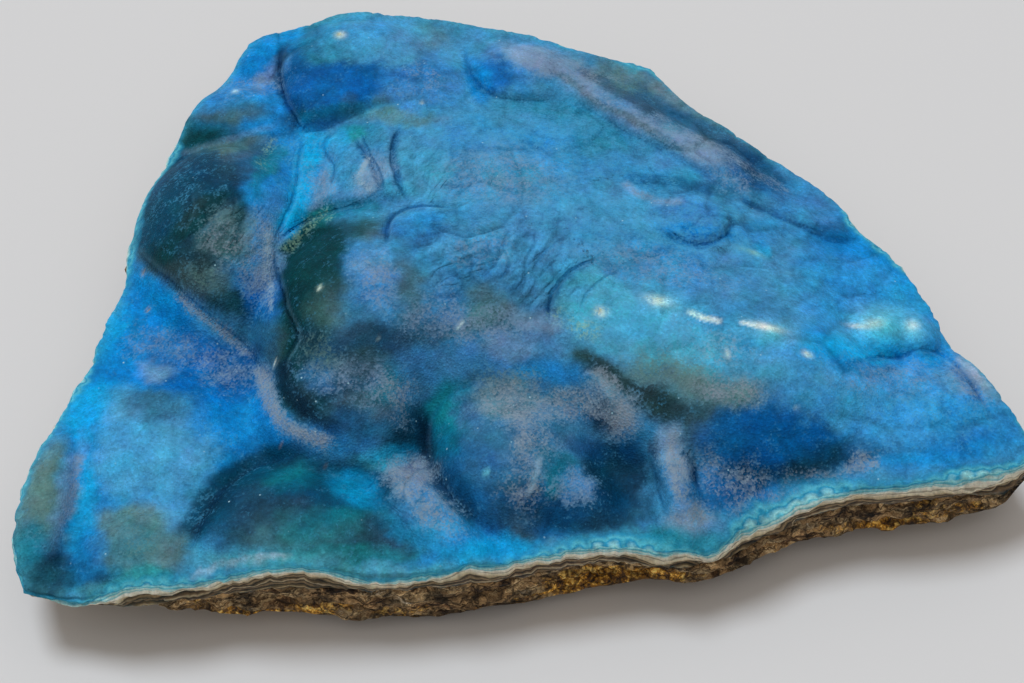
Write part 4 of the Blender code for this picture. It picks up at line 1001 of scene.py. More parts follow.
def crust_points(settings, ground):
    """Points of the crust and, for each, the place where it is seen on the reading level, its crease and
    small relief, which the colour also takes as painted light and shade, and its depth below the upper side.
    The upper side is the relief over the plan, chipped at the outline; the broken edge runs down from it to
    the parting in bulging rows; rings below close it."""
    columns, rows = settings.columns, settings.rows
    u, v = grid_places(columns, rows)
    whole = plan(u, v)
    far = np.maximum(np.abs(2 * u - 1), np.abs(2 * v - 1))
    chip = 0.8 * np.abs(noise(whole, 4.5, 55)) + 0.5 * np.abs(noise(whole, 1.7, 56))
    drawn_in = 1 - chip * ease((far - 0.94) / 0.06) / HALF_SPAN
    at = plan(*inward(u, v, drawn_in))
    top, crease, small = relief(at, ground)
    edge = border(columns, rows)
    edge_u, edge_v, edge_top, edge_in = u[edge], v[edge], top[edge], drawn_in[edge]
    rim = rim_shape(whole[edge])[0]
    share = np.full(len(edge), 0.3)
    for _ in range(5):
        ring = edge_place(edge_u, edge_v, share, edge_in)
        lower = np.maximum(parting_height(ring, ground, settings.depth), rim)
        share = (edge_top - lower) / (edge_top - rim)
    share = np.clip(share, 0.02, 1)
    parts = [np.column_stack([at, top])]
    depths = [np.zeros(len(at))]
    for step in np.arange(1, settings.wall_rows + 1) / settings.wall_rows:
        depth = share * step
        ring = edge_place(edge_u, edge_v, depth, edge_in)
        height = edge_top + depth * (rim - edge_top)
        space = np.column_stack([ring, 2.2 * height])
        fallen = edge_top - height
        bulge = 0.35 * (1 - np.exp(-fallen / 0.5))
        chips = layered(space, (0.45, 3.4, 51), (0.22, 1.2, 52))
        chips += 0.10 * np.tanh(3 * noise(space * [0.15, 0.15, 1.0], 0.9, 57))
        ring = ring + outward(ring) * (bulge + chips * ease(fallen / 0.9))[:, None]
        parts.append(np.column_stack([ring, height]))
        depths.append(fallen)
    for scale in (0.992, 0.975, 0.945, 0.9, 0.82, 0.68, 0.45):
        below_u, below_v = inward(edge_u, edge_v, scale)
        ring = plan(below_u, below_v)
        lower = np.maximum(parting_height(ring, ground, settings.depth), under_height(below_u, below_v))
        bumps = np.clip(layered(ring, (0.25, 2.4, 53), (0.12, 1.0, 54)), 0, 0.3)
        parts.append(np.column_stack([ring, lower + bumps]))
        depths.append(np.full(len(ring), settings.depth))
    middle = plan(HALF_WAY, HALF_WAY)
    parts.append(np.column_stack([middle, parting_height(middle, ground, settings.depth)]))
    depths.append(np.full(1, settings.depth))
    points, depths = np.vstack(parts), np.concatenate(depths)
    count = len(points) - len(at)
    seen = np.vstack([reading(at, top)] + [reading(at[edge], edge_top)] * (count // len(edge)) + [[[0, 0]]])
    crease, small = np.append(crease, np.zeros(count)), np.append(small, np.zeros(count))
    return points, seen, crease, small, depths


def rim_distance(at):
    """Distance of plan points to the outline, up to 9 mm, worked out in portions to save memory."""
    sides = (FRONT, EAST, NORTH[::-1], WEST[::-1])
    outline = np.vstack([smooth_line(side, np.linspace(0, 1, 60)) for side in sides])
    nearest = np.full(len(at), 9.0)
    for start in range(0, len(outline), 30):
        gap = np.linalg.norm(at[:, None] - outline[None, start:start + 30], axis=-1).min(axis=1)
        nearest = np.minimum(nearest, gap)
    return nearest


def painted_rim_glow(colours, seen, from_rim):
    """Lays the rim's colour, a painted glow of the thin, clear crust at its edge, over the last millimetre
    before the outline, more on the left than elsewhere.
    """
    most = np.where(seen[:, 0] < 5, 0.45, 0.2) * (1 + 0.6 * noise(seen, 3.0, 58))
    lay_over(colours, slice(None), "rim", most * np.exp(-(from_rim / 1.2) ** 2))


def band_depths(seen, depths, from_rim):
    """Depth that the growth bands are coloured by, in millimetres. On the broken edge it is the real one, and
    on the top it falls off from the rim. At the front right the bands turn over the rim: there the depth
    starts lower on the top, which dies out down the edge."""
    turned = ease((seen[:, 0] - 8) / 14) * ease((-20 - seen[:, 1]) / 6)
    side = depths + BAND_TURN * turned * np.exp(-np.clip(depths, 0, 9) / 1.5)
    slope = BAND_SLOPES[1] - (BAND_SLOPES[1] - BAND_SLOPES[0]) * turned
    top = BAND_TURN * turned - slope * np.clip(from_rim - 0.4, 0, 5)
    return np.where(depths > 0, side, top)


def rock_points(settings, crust_depth, ground):
    """Points of the rock and each point's share of golden limonite. The underside is the fine grid, rough and
    pitted but for its flat foot; the broken edge runs up from it in beds, chips and one hollow; rings under
    the crust close it."""
    columns, rows = settings.columns, settings.rows
    u, v = grid_places(columns, rows)
    edge = border(columns, rows)
    edge_u, edge_v = u[edge], v[edge]
    outline = plan(edge_u, edge_v)
    edge_top = body_height(outline, ground)
    rim = rim_shape(outline)[0]

    # Where the rock is missing under the crust's lip, its outline draws in until it has some thickness
    low, high = np.full(len(edge), 0.5), np.ones(len(edge))
    for _ in range(14):
        share = (low + high) / 2
        at_u, at_v = inward(edge_u, edge_v, share)
        thick = parting_height(plan(at_u, at_v), ground, crust_depth) - under_height(at_u, at_v) > 0.4
        low, high = np.where(thick, share, low), np.where(thick, high, share)
    share = low
    share[share > 0.999] = 1.0
    way = np.arctan2(2 * edge_v - 1, 2 * edge_u - 1)
    order = np.argsort(way)
    far = np.maximum(np.abs(2 * u - 1), np.abs(2 * v - 1))
    round_share = np.interp(np.arctan2(2 * v - 1, 2 * u - 1), way[order], share[order], period=2 * math.pi)
    scale = 1 + (round_share - 1) * far ** 2
    under = under_height(*inward(u, v, scale))
    at = edge_place(u, v, np.ones(len(u)), scale)
    flat = np.column_stack([at, np.zeros(len(at))])
    steps = np.tanh(2.5 * noise(flat, 5.0, 61)) * 0.5
    steps += 0.45 * noise(flat, 2.2, 62)
    steps += 0.22 * noise(flat, 0.9, 63)
    pits = 0.12 * ease(2 * noise(flat, 2.4, 64)) + 0.05 * ease(2 * noise(flat, 0.9, 65))
    under_rough = np.maximum(under + 0.9 * steps * ease(under / 1.6) + pits * (far < 0.9), 0)
    parts = [np.column_stack([at, under_rough])]

    edge_bottom = under_rough[edge]
    place = edge_place(edge_u, edge_v, np.full(len(edge), 0.5), share)
    edge_rock_top = np.maximum(parting_height(place, ground, crust_depth) - PARTING_SPACE, edge_bottom + 0.2)
    for step in np.arange(1, settings.wall_rows + 1) / settings.wall_rows:
        height = edge_bottom + (edge_rock_top - edge_bottom) * step
        depth = np.clip((edge_top - height) / (edge_top - rim), 0, 1)
        ring = edge_place(edge_u, edge_v, depth, share)
        bedded = height + 1.6 * noise(ring, 12.0, 71) + 0.7 * noise(ring, 4.5, 72)
        beds = np.column_stack([ring / 14, bedded])
        ledge = 0.6 * np.tanh(2.6 * noise(beds, 1.3, 73)) + 0.3 * np.tanh(2 * noise(beds, 0.6, 74))
        space = np.column_stack([ring, 1.6 * height])
        chips = layered(space, (0.7, 3.4, 75), (0.4, 1.3, 76))
        from_hollow = np.hypot((ring[:, 0] - 13) / 7, (height - 5.6 - 0.5 * noise(ring, 4.0, 77)) / 1.5)
        hollow = np.where(ring[:, 1] < 0, 2.4 * ease(1.4 - from_hollow), 0)
        rise = ease((height - edge_bottom) / 0.5) * ease((edge_rock_top + 0.15 - height) / 0.4)
        ring = ring + outward(ring) * ((ledge + chips - hollow - 0.1) * rise)[:, None]
        parts.append(np.column_stack([ring, height]))
    for inner in (0.97, 0.85, 0.55):
        ring = edge_place(edge_u, edge_v, np.full(len(edge), 0.5), share * inner)
        parts.append(np.column_stack([ring, parting_height(ring, ground, crust_depth) - PARTING_SPACE]))
    middle = plan(HALF_WAY, HALF_WAY)
    parts.append(np.column_stack([middle, parting_height(middle, ground, crust_depth) - PARTING_SPACE]))
    points = np.vstack(parts)

    gold = np.zeros(len(points))
    front = np.column_stack([points[:, 0], points[:, 2]])
    front += np.column_stack([1.2 * noise(points, 3.0, 81), 0.5 * noise(points, 2.0, 82)])
    for x, height, half_length, half_height, strength in LIMONITE:
        gold = np.maximum(gold, strength * ease(1.45 - oval(front, x, height, half_length, half_height, 0)))
    gold *= points[:, 1] < 0
    gold = np.maximum(gold, 0.3 * ease(3 * noise(points, 9.0, 83) - 0.9))
    return points, gold


def add_node(tree, kind, inputs=(), stops=(), **settings):
    """Adds a node, sets its own settings, sets or links its inputs, and gives a ramp its colour stops. A node
    among the inputs stands for its first output."""
    node = tree.nodes.new("ShaderNode" + kind)
    for name, value in settings.items():
        setattr(node, name, value)
    for key, value in dict(inputs).items():
        if isinstance(value, bpy.types.Node):
            value = value.outputs[0]
        if isinstance(value, bpy.types.NodeSocket):
            tree.links.new(value, node.inputs[key])
        else:
            node.inputs[key].default_value = value
    for number, (place, colour) in enumerate(stops):
        ramp = node.color_ramp.elements
        stop = ramp[number] if number < len(ramp) else ramp.new(place)
        stop.position = place
        stop.color = (*linear(colour), 1.0)
    return node


def new_tree(name):
    """A new material's node tree with its Principled shader, and the material."""
    material = bpy.data.materials.new(name)
    material.use_nodes = True
    return material, material.node_tree, material.node_tree.nodes["Principled BSDF"]


def scale_of(size):
    """Scale of a noise texture whose spots are this many millimetres wide."""
    return NOISE_SPOT / (size * MM)


def crust_material(settings):
    """Hemimorphite, grown as a druse: a botryoidal crust whose skin is tiny crystals, like fine frost on
    coloured glass. Colour comes from inside the crust, so it is soft and deep; a powder of paler crystals
    lies on it in grains, thin cracks run along the folds, darkened with painted shade like the wrinkle
    grooves and with a painted highlight along their raised side, a few crystals show painted glints, and
    where the crust is broken its growth bands show."""
    material, tree, shader = new_tree("hemimorphite_druse_grown")
    grain = settings.grain * MM
    place = add_node(tree, "TexCoord").outputs["Object"]
    held = {name: add_node(tree, "Attribute", attribute_name=name).outputs for name in CRUST_LAYERS}

    # Mottling of 1.8 mm, and crystals of the grain size, each of its own tone
    mottle = add_node(tree, "TexNoise", {"Vector": place, "Scale": scale_of(1.8), "Detail": 5.0,
                                         "Roughness": 0.6})
    crystals = add_node(tree, "TexVoronoi", {"Vector": place, "Scale": 0.8 / grain}, feature="F1")
    chance = add_node(tree, "SeparateColor", {0: crystals.outputs["Color"]})
    darker = add_node(tree, "MapRange", {0: mottle.outputs["Fac"], **NOISE_RANGE, 3: 0.80, 4: 1.20})
    shaded = add_node(tree, "MapRange", {0: chance, 1: 0.0, 2: 1.0, 3: 0.84, 4: 1.16})
    specks = add_node(tree, "TexNoise", {"Vector": place, "Scale": scale_of(0.6), "Detail": 3.0,
                                         "Roughness": 0.6})
    speckled = add_node(tree, "MapRange", {0: specks.outputs["Fac"], **NOISE_RANGE, 3: 0.84, 4: 1.16})
    toned = add_node(tree, "Math", {0: darker, 1: speckled}, operation="MULTIPLY")
    both = add_node(tree, "Math", {0: toned, 1: shaded}, operation="MULTIPLY")
    body = add_node(tree, "VectorMath", {0: held["tint"]["Color"], "Scale": both}, operation="SCALE")

    # Powder: single grains, thick or thin as the amount and two noises say
    patchy = add_node(tree, "TexNoise", {"Vector": place, "Scale": scale_of(1.6), "Detail": 5.0,
                                         "Roughness": 0.75})
    spread = add_node(tree, "MapRange", {0: patchy.outputs["Fac"], **NOISE_RANGE, 3: -0.35, 4: 0.35})
    single = add_node(tree, "MapRange", {0: chance.outputs[1], 1: 0.0, 2: 1.0, 3: -0.28, 4: 0.28})
    either = add_node(tree, "Math", {0: spread, 1: single}, operation="ADD")
    thick = add_node(tree, "Math", {0: either, 1: held["powder_amount"]["Fac"]}, operation="ADD")
    grains = add_node(tree, "MapRange", {0: thick, 1: 0.25, 2: 1.0, 3: 0.0, 4: settings.powder_cover})
    powdered = add_node(tree, "Mix", {0: grains, 6: body, 7: held["powder"]["Color"]},
                        data_type="RGBA")

    # A few single crystals catch the light as pale points
    points = add_node(tree, "TexVoronoi", {"Vector": place, "Scale": 1 / (2.4 * MM)}, feature="F1")
    few = add_node(tree, "SeparateColor", {0: points.outputs["Color"]})
    chosen = add_node(tree, "MapRange", {0: few, 1: 0.5, 2: 1.0, 3: 0.0, 4: 0.9})
    glint = add_node(tree, "MapRange", {0: points.outputs["Distance"], 1: 0.03, 2: 0.08, 3: 1.0, 4: 0.0})
    shown = add_node(tree, "Math", {0: glint, 1: chosen}, operation="MULTIPLY")
    glinting = add_node(tree, "Mix", {0: shown, 6: powdered.outputs[2], 7: (*linear(GLINT), 1)},
                        data_type="RGBA")

    # Wrinkles: grooves where a stretched noise passes its middle value, darkened as painted shade
    folded = add_node(tree, "TexNoise", {"Vector": held["wrinkle_place"]["Vector"], "Scale": 0.6,
                                         "Detail": 2.0, "Roughness": 0.5, "Distortion": 0.4})
    from_middle = add_node(tree, "Math", {0: folded.outputs["Fac"], 1: 0.5}, operation="SUBTRACT")
    off_middle = add_node(tree, "Math", {0: from_middle}, operation="ABSOLUTE")
    valley = add_node(tree, "MapRange", {0: off_middle, 1: 0.0, 2: 0.10, 3: 0.22, 4: 0.0},
                      interpolation_type="SMOOTHSTEP")
    broken = add_node(tree, "MapRange", {0: patchy.outputs["Fac"], 1: 0.42, 2: 0.58, 3: 0.2, 4: 1.0})
    grooved = add_node(tree, "Math", {0: valley, 1: broken}, operation="MULTIPLY")
    groove = add_node(tree, "Math", {0: grooved, 1: held["wrinkle"]["Fac"]}, operation="MULTIPLY")

    # Cracks: thin lines of painted shade, with a painted highlight along their raised side
    jitter = add_node(tree, "TexNoise", {"Vector": place, "Scale": scale_of(1.8), "Detail": 5.0,
                                         "Roughness": 0.65})
    aside = add_node(tree, "MapRange", {0: jitter.outputs["Fac"], **NOISE_RANGE, 3: -0.25, 4: 0.25})
    gap = add_node(tree, "Math", {0: held["crack_gap"]["Fac"], 1: aside}, operation="ADD")
    off_line = add_node(tree, "Math", {0: gap}, operation="ABSOLUTE")
    thin = add_node(tree, "MapRange", {0: off_line, 1: 0.03, 2: 0.34, 3: 0.66, 4: 0.0})
    line = add_node(tree, "Math", {0: thin, 1: held["crack"]["Fac"]}, operation="MULTIPLY")
    off_lip = add_node(tree, "Math", {0: gap, 1: 0.65}, operation="SUBTRACT")
    lip_away = add_node(tree, "Math", {0: off_lip}, operation="ABSOLUTE")
    lip_thin = add_node(tree, "MapRange", {0: lip_away, 1: 0.0, 2: 0.4, 3: 0.16, 4: 0.0})
    lip_highlight = add_node(tree, "Math", {0: lip_thin, 1: held["crack"]["Fac"]}, operation="MULTIPLY")
    # Painted shade: crack lines and wrinkle grooves darken the colour, and the same mask cuts them into the
    # bump
    dark = add_node(tree, "Math", {0: groove, 1: line}, operation="MAXIMUM")
    lip_highlighted = add_node(tree, "Mix", {0: lip_highlight, 6: glinting.outputs[2], 7: (*linear(LIP_HIGHLIGHT), 1)},
                      data_type="RGBA")
    deep = add_node(tree, "Mix", {0: dark, 6: (1.0, 1.0, 1.0, 1.0), 7: CRACK_SHADE},
                    data_type="RGBA")
    lined = add_node(tree, "VectorMath", {0: lip_highlighted.outputs[2], 1: deep.outputs[2]}, operation="MULTIPLY")

    # Growth bands on the broken edge, by depth in millimetres with a slow and a quick wander
    slow = add_node(tree, "TexNoise", {"Vector": place, "Scale": scale_of(9), "Detail": 1.0})
    drawn_out = add_node(tree, "Mapping", {"Vector": place, "Scale": (0.35, 1.0, 1.0)})
    quick = add_node(tree, "TexNoise", {"Vector": drawn_out, "Scale": scale_of(2.5), "Detail": 4.0,
                                        "Roughness": 0.55})
    swings = [add_node(tree, "MapRange", {0: wander, **NOISE_RANGE, 3: -most, 4: most})
              for wander, most in ((slow, 0.7), (quick, 0.35))]
    shift = add_node(tree, "Math", {0: swings[0], 1: swings[1]}, operation="ADD")
    banded = add_node(tree, "Math", {0: held["band_depth"]["Fac"], 1: shift}, operation="ADD")
    band_place = add_node(tree, "Math", {0: banded, 1: BAND_SPAN}, operation="DIVIDE")
    bands = add_node(tree, "ValToRGB", {0: band_place}, stops=[(mm / BAND_SPAN, code) for mm, code in BANDS])
    streaks_at = add_node(tree, "Mapping", {"Vector": place, "Scale": (1.0, 1.0, 0.35)})
    streaks = add_node(tree, "TexNoise", {"Vector": streaks_at, "Scale": scale_of(0.5), "Detail": 4.0,
                                          "Roughness": 0.7})
    streaked = add_node(tree, "MapRange", {0: streaks.outputs["Fac"], **NOISE_RANGE, 3: 0.68, 4: 1.34})
    fibrous = add_node(tree, "VectorMath", {0: bands, "Scale": streaked}, operation="SCALE")
    on_edge = add_node(tree, "MapRange", {0: banded, 1: -0.3, 2: 0.5, 3: 0.0, 4: 0.95})
    coloured = add_node(tree, "Mix", {0: on_edge, 6: lined, 7: fibrous},
                        data_type="RGBA")
    tree.links.new(coloured.outputs[2], shader.inputs["Base Color"])

    rough = add_node(tree, "MapRange", {0: grains, 1: 0.0, 2: 1.0, 3: settings.roughness, 4: 0.8})
    tree.links.new(rough.outputs[0], shader.inputs["Roughness"])
    low = add_node(tree, "Bump", {"Height": mottle.outputs["Fac"], "Distance": 0.16 * MM, "Strength": 0.8})
    depth_of = add_node(tree, "Math", {0: dark, 1: -1.0}, operation="MULTIPLY")
    cut = add_node(tree, "Bump", {"Height": depth_of, "Distance": 0.22 * MM, "Strength": 1.0,
                                  "Normal": low})
    swollen = add_node(tree, "MapRange", {0: off_middle, 1: 0.0, 2: 0.2, 3: 0.0, 4: 1.0})
    puffed = add_node(tree, "Math", {0: swollen, 1: held["wrinkle"]["Fac"]}, operation="MULTIPLY")
    puffy = add_node(tree, "Bump", {"Height": puffed, "Distance": 0.45 * MM, "Strength": 1.0,
                                    "Normal": cut})
    fine = add_node(tree, "Bump", {"Height": crystals.outputs["Distance"], "Distance": 0.10 * MM,
                                   "Strength": 0.8,
                                   "Normal": puffy})
    tree.links.new(fine.outputs[0], shader.inputs["Normal"])
    shader.inputs["IOR"].default_value = 1.61
    shader.inputs["Specular IOR Level"].default_value = 0.05
    shader.inputs["Subsurface Weight"].default_value = 0.12
    shader.inputs["Subsurface Radius"].default_value = (0.2, 0.9, 1.4)
    shader.inputs["Subsurface Scale"].default_value = 1.0 * MM
    return material


def rock_material(settings):
    """Limonite-stained matrix, split by hand: thin dark brown beds with grey seams and crumbly golden
    limonite, dull and rough with a few waxy spots."""
    material, tree, shader = new_tree("limonite_matrix_split")
    place = add_node(tree, "TexCoord").outputs["Object"]
    gold = add_node(tree, "Attribute", attribute_name="gold").outputs["Fac"]

    # Beds of about 1 mm lie level, bent and broken by slower noise, with crumbs in them and painted shade in
    # their hollows, where the same noise also sets the bump lowest
    bend = add_node(tree, "TexNoise", {"Vector": place, "Scale": scale_of(7), "Detail": 5.0,
                                       "Roughness": 0.7})
    bent = add_node(tree, "MapRange", {0: bend.outputs["Fac"], 1: 0.0, 2: 1.0, 3: -4.5 * MM, 4: 4.5 * MM})
    lift = add_node(tree, "CombineXYZ", {"Z": bent})
    moved = add_node(tree, "VectorMath", {0: place, 1: lift}, operation="ADD")
    beds_at = add_node(tree, "Mapping", {"Vector": moved, "Scale": (0.28, 0.28, 1.0)})
    beds = add_node(tree, "TexNoise", {"Vector": beds_at, "Scale": scale_of(0.9), "Detail": 6.0,
                                       "Roughness": 0.7})
    brown = add_node(tree, "ValToRGB", {0: beds.outputs["Fac"]}, stops=[
        (0.32, "#18110B"), (0.42, "#61482F"), (0.47, "#A88B62"), (0.52, "#6C5235"), (0.56, "#C2AA80"),
        (0.62, "#836A48"), (0.70, "#DFD2B6")])
    grit = add_node(tree, "TexNoise", {"Vector": place, "Scale": scale_of(0.35), "Detail": 4.0,
                                       "Roughness": 0.7})
    blots = add_node(tree, "TexNoise", {"Vector": place, "Scale": scale_of(2.6), "Detail": 5.0,
                                        "Roughness": 0.7})
    speckle = add_node(tree, "MapRange", {0: grit.outputs["Fac"], **NOISE_RANGE, 3: 0.55, 4: 1.4})
    shade = add_node(tree, "MapRange", {0: blots.outputs["Fac"], 1: 0.40, 2: 0.54, 3: 0.18, 4: 1.3})
    chunks_at = add_node(tree, "Mapping", {"Vector": moved, "Scale": (0.36, 0.36, 1.0)})
    chunks = add_node(tree, "TexVoronoi", {"Vector": chunks_at, "Scale": 1 / (1.1 * MM)}, feature="F1")
    split = add_node(tree, "TexVoronoi", {"Vector": chunks_at, "Scale": 1 / (1.1 * MM)},
                     feature="DISTANCE_TO_EDGE")
    own = add_node(tree, "SeparateColor", {0: chunks.outputs["Color"]})
    lighter = add_node(tree, "MapRange", {0: own, 1: 0.0, 2: 1.0, 3: 0.65, 4: 1.5})
    # Painted shade darkens the borders of the chunks, which the bump also cuts in as clefts
    seam = add_node(tree, "MapRange", {0: split.outputs["Distance"], 1: 0.0, 2: 0.09, 3: 0.3, 4: 1.0})
    broken = add_node(tree, "Math", {0: lighter, 1: seam}, operation="MULTIPLY")
    speckled = add_node(tree, "Math", {0: speckle, 1: broken}, operation="MULTIPLY")
    tone = add_node(tree, "Math", {0: speckled, 1: shade}, operation="MULTIPLY")
    body = add_node(tree, "VectorMath", {0: brown, "Scale": tone}, operation="SCALE")
    lumps = add_node(tree, "TexNoise", {"Vector": place, "Scale": scale_of(0.5), "Detail": 4.0,
                                        "Roughness": 0.7})
    golden = add_node(tree, "ValToRGB", {0: lumps.outputs["Fac"]}, stops=[
        (0.36, "#2A1A08"), (0.46, "#7A5212"), (0.53, "#C08A20"), (0.62, "#FFD878")])
    crumbly = add_node(tree, "VectorMath", {0: golden, "Scale": speckled}, operation="SCALE")
    where = add_node(tree, "Math", {0: gold, 1: grit.outputs["Fac"]}, operation="ADD")
    cover = add_node(tree, "MapRange", {0: where, 1: 0.70, 2: 1.05, 3: 0.0, 4: 1.0})
    coloured = add_node(tree, "Mix", {0: cover, 6: body, 7: crumbly}, data_type="RGBA")
    tree.links.new(coloured.outputs[2], shader.inputs["Base Color"])
    rough = add_node(tree, "MapRange", {0: cover, 1: 0.0, 2: 1.0, 3: settings.roughness, 4: 0.6})
    tree.links.new(rough.outputs[0], shader.inputs["Roughness"])
    low = add_node(tree, "Bump", {"Height": beds.outputs["Fac"], "Distance": 0.35 * MM, "Strength": 0.9})
    cleft = add_node(tree, "Bump", {"Height": seam, "Distance": 0.3 * MM, "Strength": 1.0,
                                    "Normal": low})
    fine = add_node(tree, "Bump", {"Height": grit.outputs["Fac"], "Distance": 0.22 * MM, "Strength": 0.9,
                                   "Normal": cleft})
    tree.links.new(fine.outputs[0], shader.inputs["Normal"])
    return material


def floor_material(settings):
    """Matt board, painted: an even pale grey with hardly any gloss."""
    material, tree, shader = new_tree("floor_board_painted_matt")
    shader.inputs["Base Color"].default_value = (*settings.floor_colour, 1.0)
    shader.inputs["Roughness"].default_value = 0.75
    return material


def level_ground():
    """The height function of the ground between the lobes."""
    spots = np.array(GROUND, float)
    return thin_plate(sight(spots[:, :2], spots[:, 2]), spots[:, 2])


class CrustSettings(bpy.types.PropertyGroup):
    """Sizes and colours of the blue crust"""
    depth: bpy.props.FloatProperty(name="Depth", description="Depth of the crust in millimetres", default=3.5,
                                   min=1)
    grain: bpy.props.FloatProperty(name="Grain", description="Size of the skin's crystals in millimetres",
                                   default=0.25, min=0.05)
    roughness: bpy.props.FloatProperty(name="Roughness", description="Roughness of the bare skin",
                                       default=0.62,
                                       min=0, max=1, subtype="FACTOR")
    powder_cover: bpy.props.FloatProperty(name="Powder cover",
                                          description="How well the powder hides the colour",
                                          default=0.85, min=0, max=1, subtype="FACTOR")
    columns: bpy.props.IntProperty(name="Columns", description="Cells of the upper side, left to right",
                                   default=280, min=8)
    rows: bpy.props.IntProperty(name="Rows", description="Cells of the upper side, front to back",
                                default=236,
                                min=8)
    wall_rows: bpy.props.IntProperty(name="Edge rows", description="Rows of cells down the edge", default=16,
                                     min=2)


class RockSettings(bpy.types.PropertyGroup):
    """Sizes and finish of the brown rock"""
    roughness: bpy.props.FloatProperty(name="Roughness", description="Roughness of the dull beds",
                                       default=0.9,
                                       min=0, max=1, subtype="FACTOR")
    columns: bpy.props.IntProperty(name="Columns", description="Cells of the underside, left to right",
                                   default=240, min=8)
    rows: bpy.props.IntProperty(name="Rows", description="Cells of the underside, front to back", default=204,
                                min=8)
    wall_rows: bpy.props.IntProperty(name="Edge rows", description="Rows of cells up the edge", default=30,
                                     min=2)


class StageSettings(bpy.types.PropertyGroup):
    """Floor, light and camera"""
    floor_colour: bpy.props.FloatVectorProperty(name="Floor", description="Colour of the floor", size=3,
                                                default=tuple(linear("#DADADA")), subtype="COLOR", min=0,
                                                max=1)
    key_colour: bpy.props.FloatVectorProperty(name="Key colour",
                                              description="Colour of the light from behind",
                                              size=3, default=(0.85, 0.92, 1.0), subtype="COLOR", min=0,
                                              max=1)
    key_strength: bpy.props.FloatProperty(name="Key light",
                                          description="Strength of the soft light from behind",
                                          default=1.74, min=0)
    key_spread: bpy.props.FloatProperty(name="Key spread", description="How wide the key light is in the sky",
                                        default=math.radians(22), subtype="ANGLE")
    room_colour: bpy.props.FloatVectorProperty(name="Room colour", description="Colour of the room's light",
                                               size=3, default=(1.0, 0.92, 0.85), subtype="COLOR", min=0,
                                               max=1)
    room_strength: bpy.props.FloatProperty(name="Room light", description="Strength of the room's light",
                                           default=0.34, min=0)


class HEMIMORPHITE_OT_crust(bpy.types.Operator):
    """Adds the blue crust of rounded lobes"""
    bl_idname = "hemimorphite.crust"
    bl_label = "Add crust"
    bl_options = {"REGISTER", "UNDO"}

    def execute(self, context):
        settings = context.scene.hemimorphite_crust
        points, seen, crease, small, depths = crust_points(settings, level_ground())
        faces = closed_faces(settings.columns, settings.rows, len(points), True)
        mesh = new_piece("blue_crust", points, faces, "hemimorphite_crust",
                         crust_material(settings))
        from_rim = rim_distance(points[:, :2])
        colours = crust_colours(seen, crease, small)
        painted_rim_glow(colours, seen, from_rim)
        values = [colours, *crust_powder(seen, small), *crust_cracks(seen), *crust_wrinkles(seen),
                  band_depths(seen, depths, from_rim)]
        for name, value in zip(CRUST_LAYERS, values):
            paint(mesh, name, value)
        return {"FINISHED"}


class HEMIMORPHITE_OT_rock(bpy.types.Operator):
    """Adds the slab of brown layered rock under the crust"""
    bl_idname = "hemimorphite.rock"
    bl_label = "Add rock"
    bl_options = {"REGISTER", "UNDO"}

    def execute(self, context):
        settings = context.scene.hemimorphite_rock
        points, gold = rock_points(settings, context.scene.hemimorphite_crust.depth, level_ground())
        faces = closed_faces(settings.columns, settings.rows, len(points), False)
        mesh = new_piece("matrix_slab", points, faces, "matrix_rock", rock_material(settings))
        paint(mesh, "gold", gold)
        return {"FINISHED"}


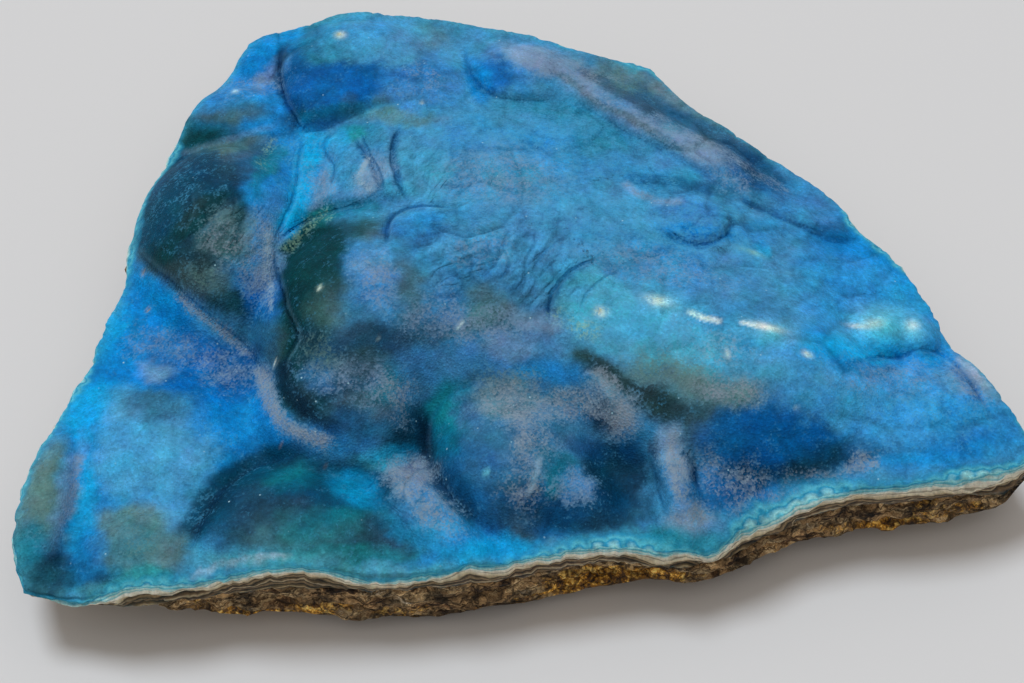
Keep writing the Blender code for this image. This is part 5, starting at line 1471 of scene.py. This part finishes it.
class HEMIMORPHITE_OT_stage(bpy.types.Operator):
    """Adds the floor, the soft light and the camera"""
    bl_idname = "hemimorphite.stage"
    bl_label = "Add stage"
    bl_options = {"REGISTER", "UNDO"}

    def execute(self, context):
        settings = context.scene.hemimorphite_stage
        scene = context.scene
        half = FLOOR_HALF
        mesh = bpy.data.meshes.new("floor")
        corners = [(-half, -half, 0), (half, -half, 0), (half, half, 0), (-half, half, 0)]
        mesh.from_pydata(corners, [], [(0, 1, 2, 3)])
        mesh.materials.append(floor_material(settings))
        floor = bpy.data.objects.new("floor", mesh)
        scene.collection.objects.link(floor)

        middle = Vector((-PLAN_MIDDLE[0] * MM, -PLAN_MIDDLE[1] * MM, READING_LEVEL * MM))
        light = bpy.data.lights.new("key", "SUN")
        light.energy = settings.key_strength
        light.angle = settings.key_spread
        light.color = settings.key_colour
        lamp = bpy.data.objects.new("key", light)
        scene.collection.objects.link(lamp)
        lamp.location = middle + Vector(KEY_FROM)
        lamp.rotation_euler = (-Vector(KEY_FROM)).to_track_quat("-Z", "Y").to_euler()
        world = bpy.data.worlds.new("room")
        world.use_nodes = True
        background = world.node_tree.nodes["Background"]
        background.inputs["Color"].default_value = (*settings.room_colour, 1.0)
        to_sky = add_node(world.node_tree, "TexCoord").outputs["Generated"]
        facing = add_node(world.node_tree, "VectorMath", {0: to_sky, 1: tuple(Vector(KEY_FROM).normalized())},
                          operation="DOT_PRODUCT")
        least, most = (share * settings.room_strength for share in ROOM_SHARES)
        fall = add_node(world.node_tree, "MapRange", {0: facing.outputs["Value"], **ROOM_FALL, 3: least,
                                                      4: most})
        world.node_tree.links.new(fall.outputs[0], background.inputs["Strength"])
        scene.world = world
        scene.view_settings.view_transform = "Standard"

        elevation = math.radians(CAMERA_ELEVATION)
        camera = bpy.data.objects.new("camera", bpy.data.cameras.new("camera"))
        scene.collection.objects.link(camera)
        camera.location = middle + CAMERA_DISTANCE * Vector((0, -math.cos(elevation), math.sin(elevation)))
        camera.rotation_euler = (middle - camera.location).to_track_quat("-Z", "Y").to_euler()
        camera.data.lens = CAMERA_LENS
        camera.data.clip_start = 0.01
        scene.camera = camera
        return {"FINISHED"}


class HEMIMORPHITE_PT_panel(bpy.types.Panel):
    """Lists the pieces with their sizes and colours"""
    bl_label = "Raw hemimorphite"
    bl_idname = "HEMIMORPHITE_PT_panel"
    bl_space_type = "VIEW_3D"
    bl_region_type = "UI"
    bl_category = "Hemimorphite"

    def draw(self, context):
        for group in GROUPS:
            box = self.layout.box()
            settings = getattr(context.scene, group)
            for name in settings.__annotations__:
                box.prop(settings, name)
            box.operator(group.replace("_", ".", 1))


GROUPS = {"hemimorphite_crust": CrustSettings, "hemimorphite_rock": RockSettings,
          "hemimorphite_stage": StageSettings}
CLASSES = (*GROUPS.values(), HEMIMORPHITE_OT_crust, HEMIMORPHITE_OT_rock, HEMIMORPHITE_OT_stage,
           HEMIMORPHITE_PT_panel)


def register():
    """Registers the classes and hangs each group of settings on the scene."""
    for kind in CLASSES:
        bpy.utils.register_class(kind)
    for name, kind in GROUPS.items():
        setattr(bpy.types.Scene, name, bpy.props.PointerProperty(type=kind))


def unregister():
    """Takes the settings and the classes away again."""
    for name in GROUPS:
        delattr(bpy.types.Scene, name)
    for kind in reversed(CLASSES):
        bpy.utils.unregister_class(kind)


def main():
    """Builds the crust, the rock and the stage."""
    register()
    bpy.ops.hemimorphite.crust()
    bpy.ops.hemimorphite.rock()
    bpy.ops.hemimorphite.stage()


if __name__ == "__main__":
    main()
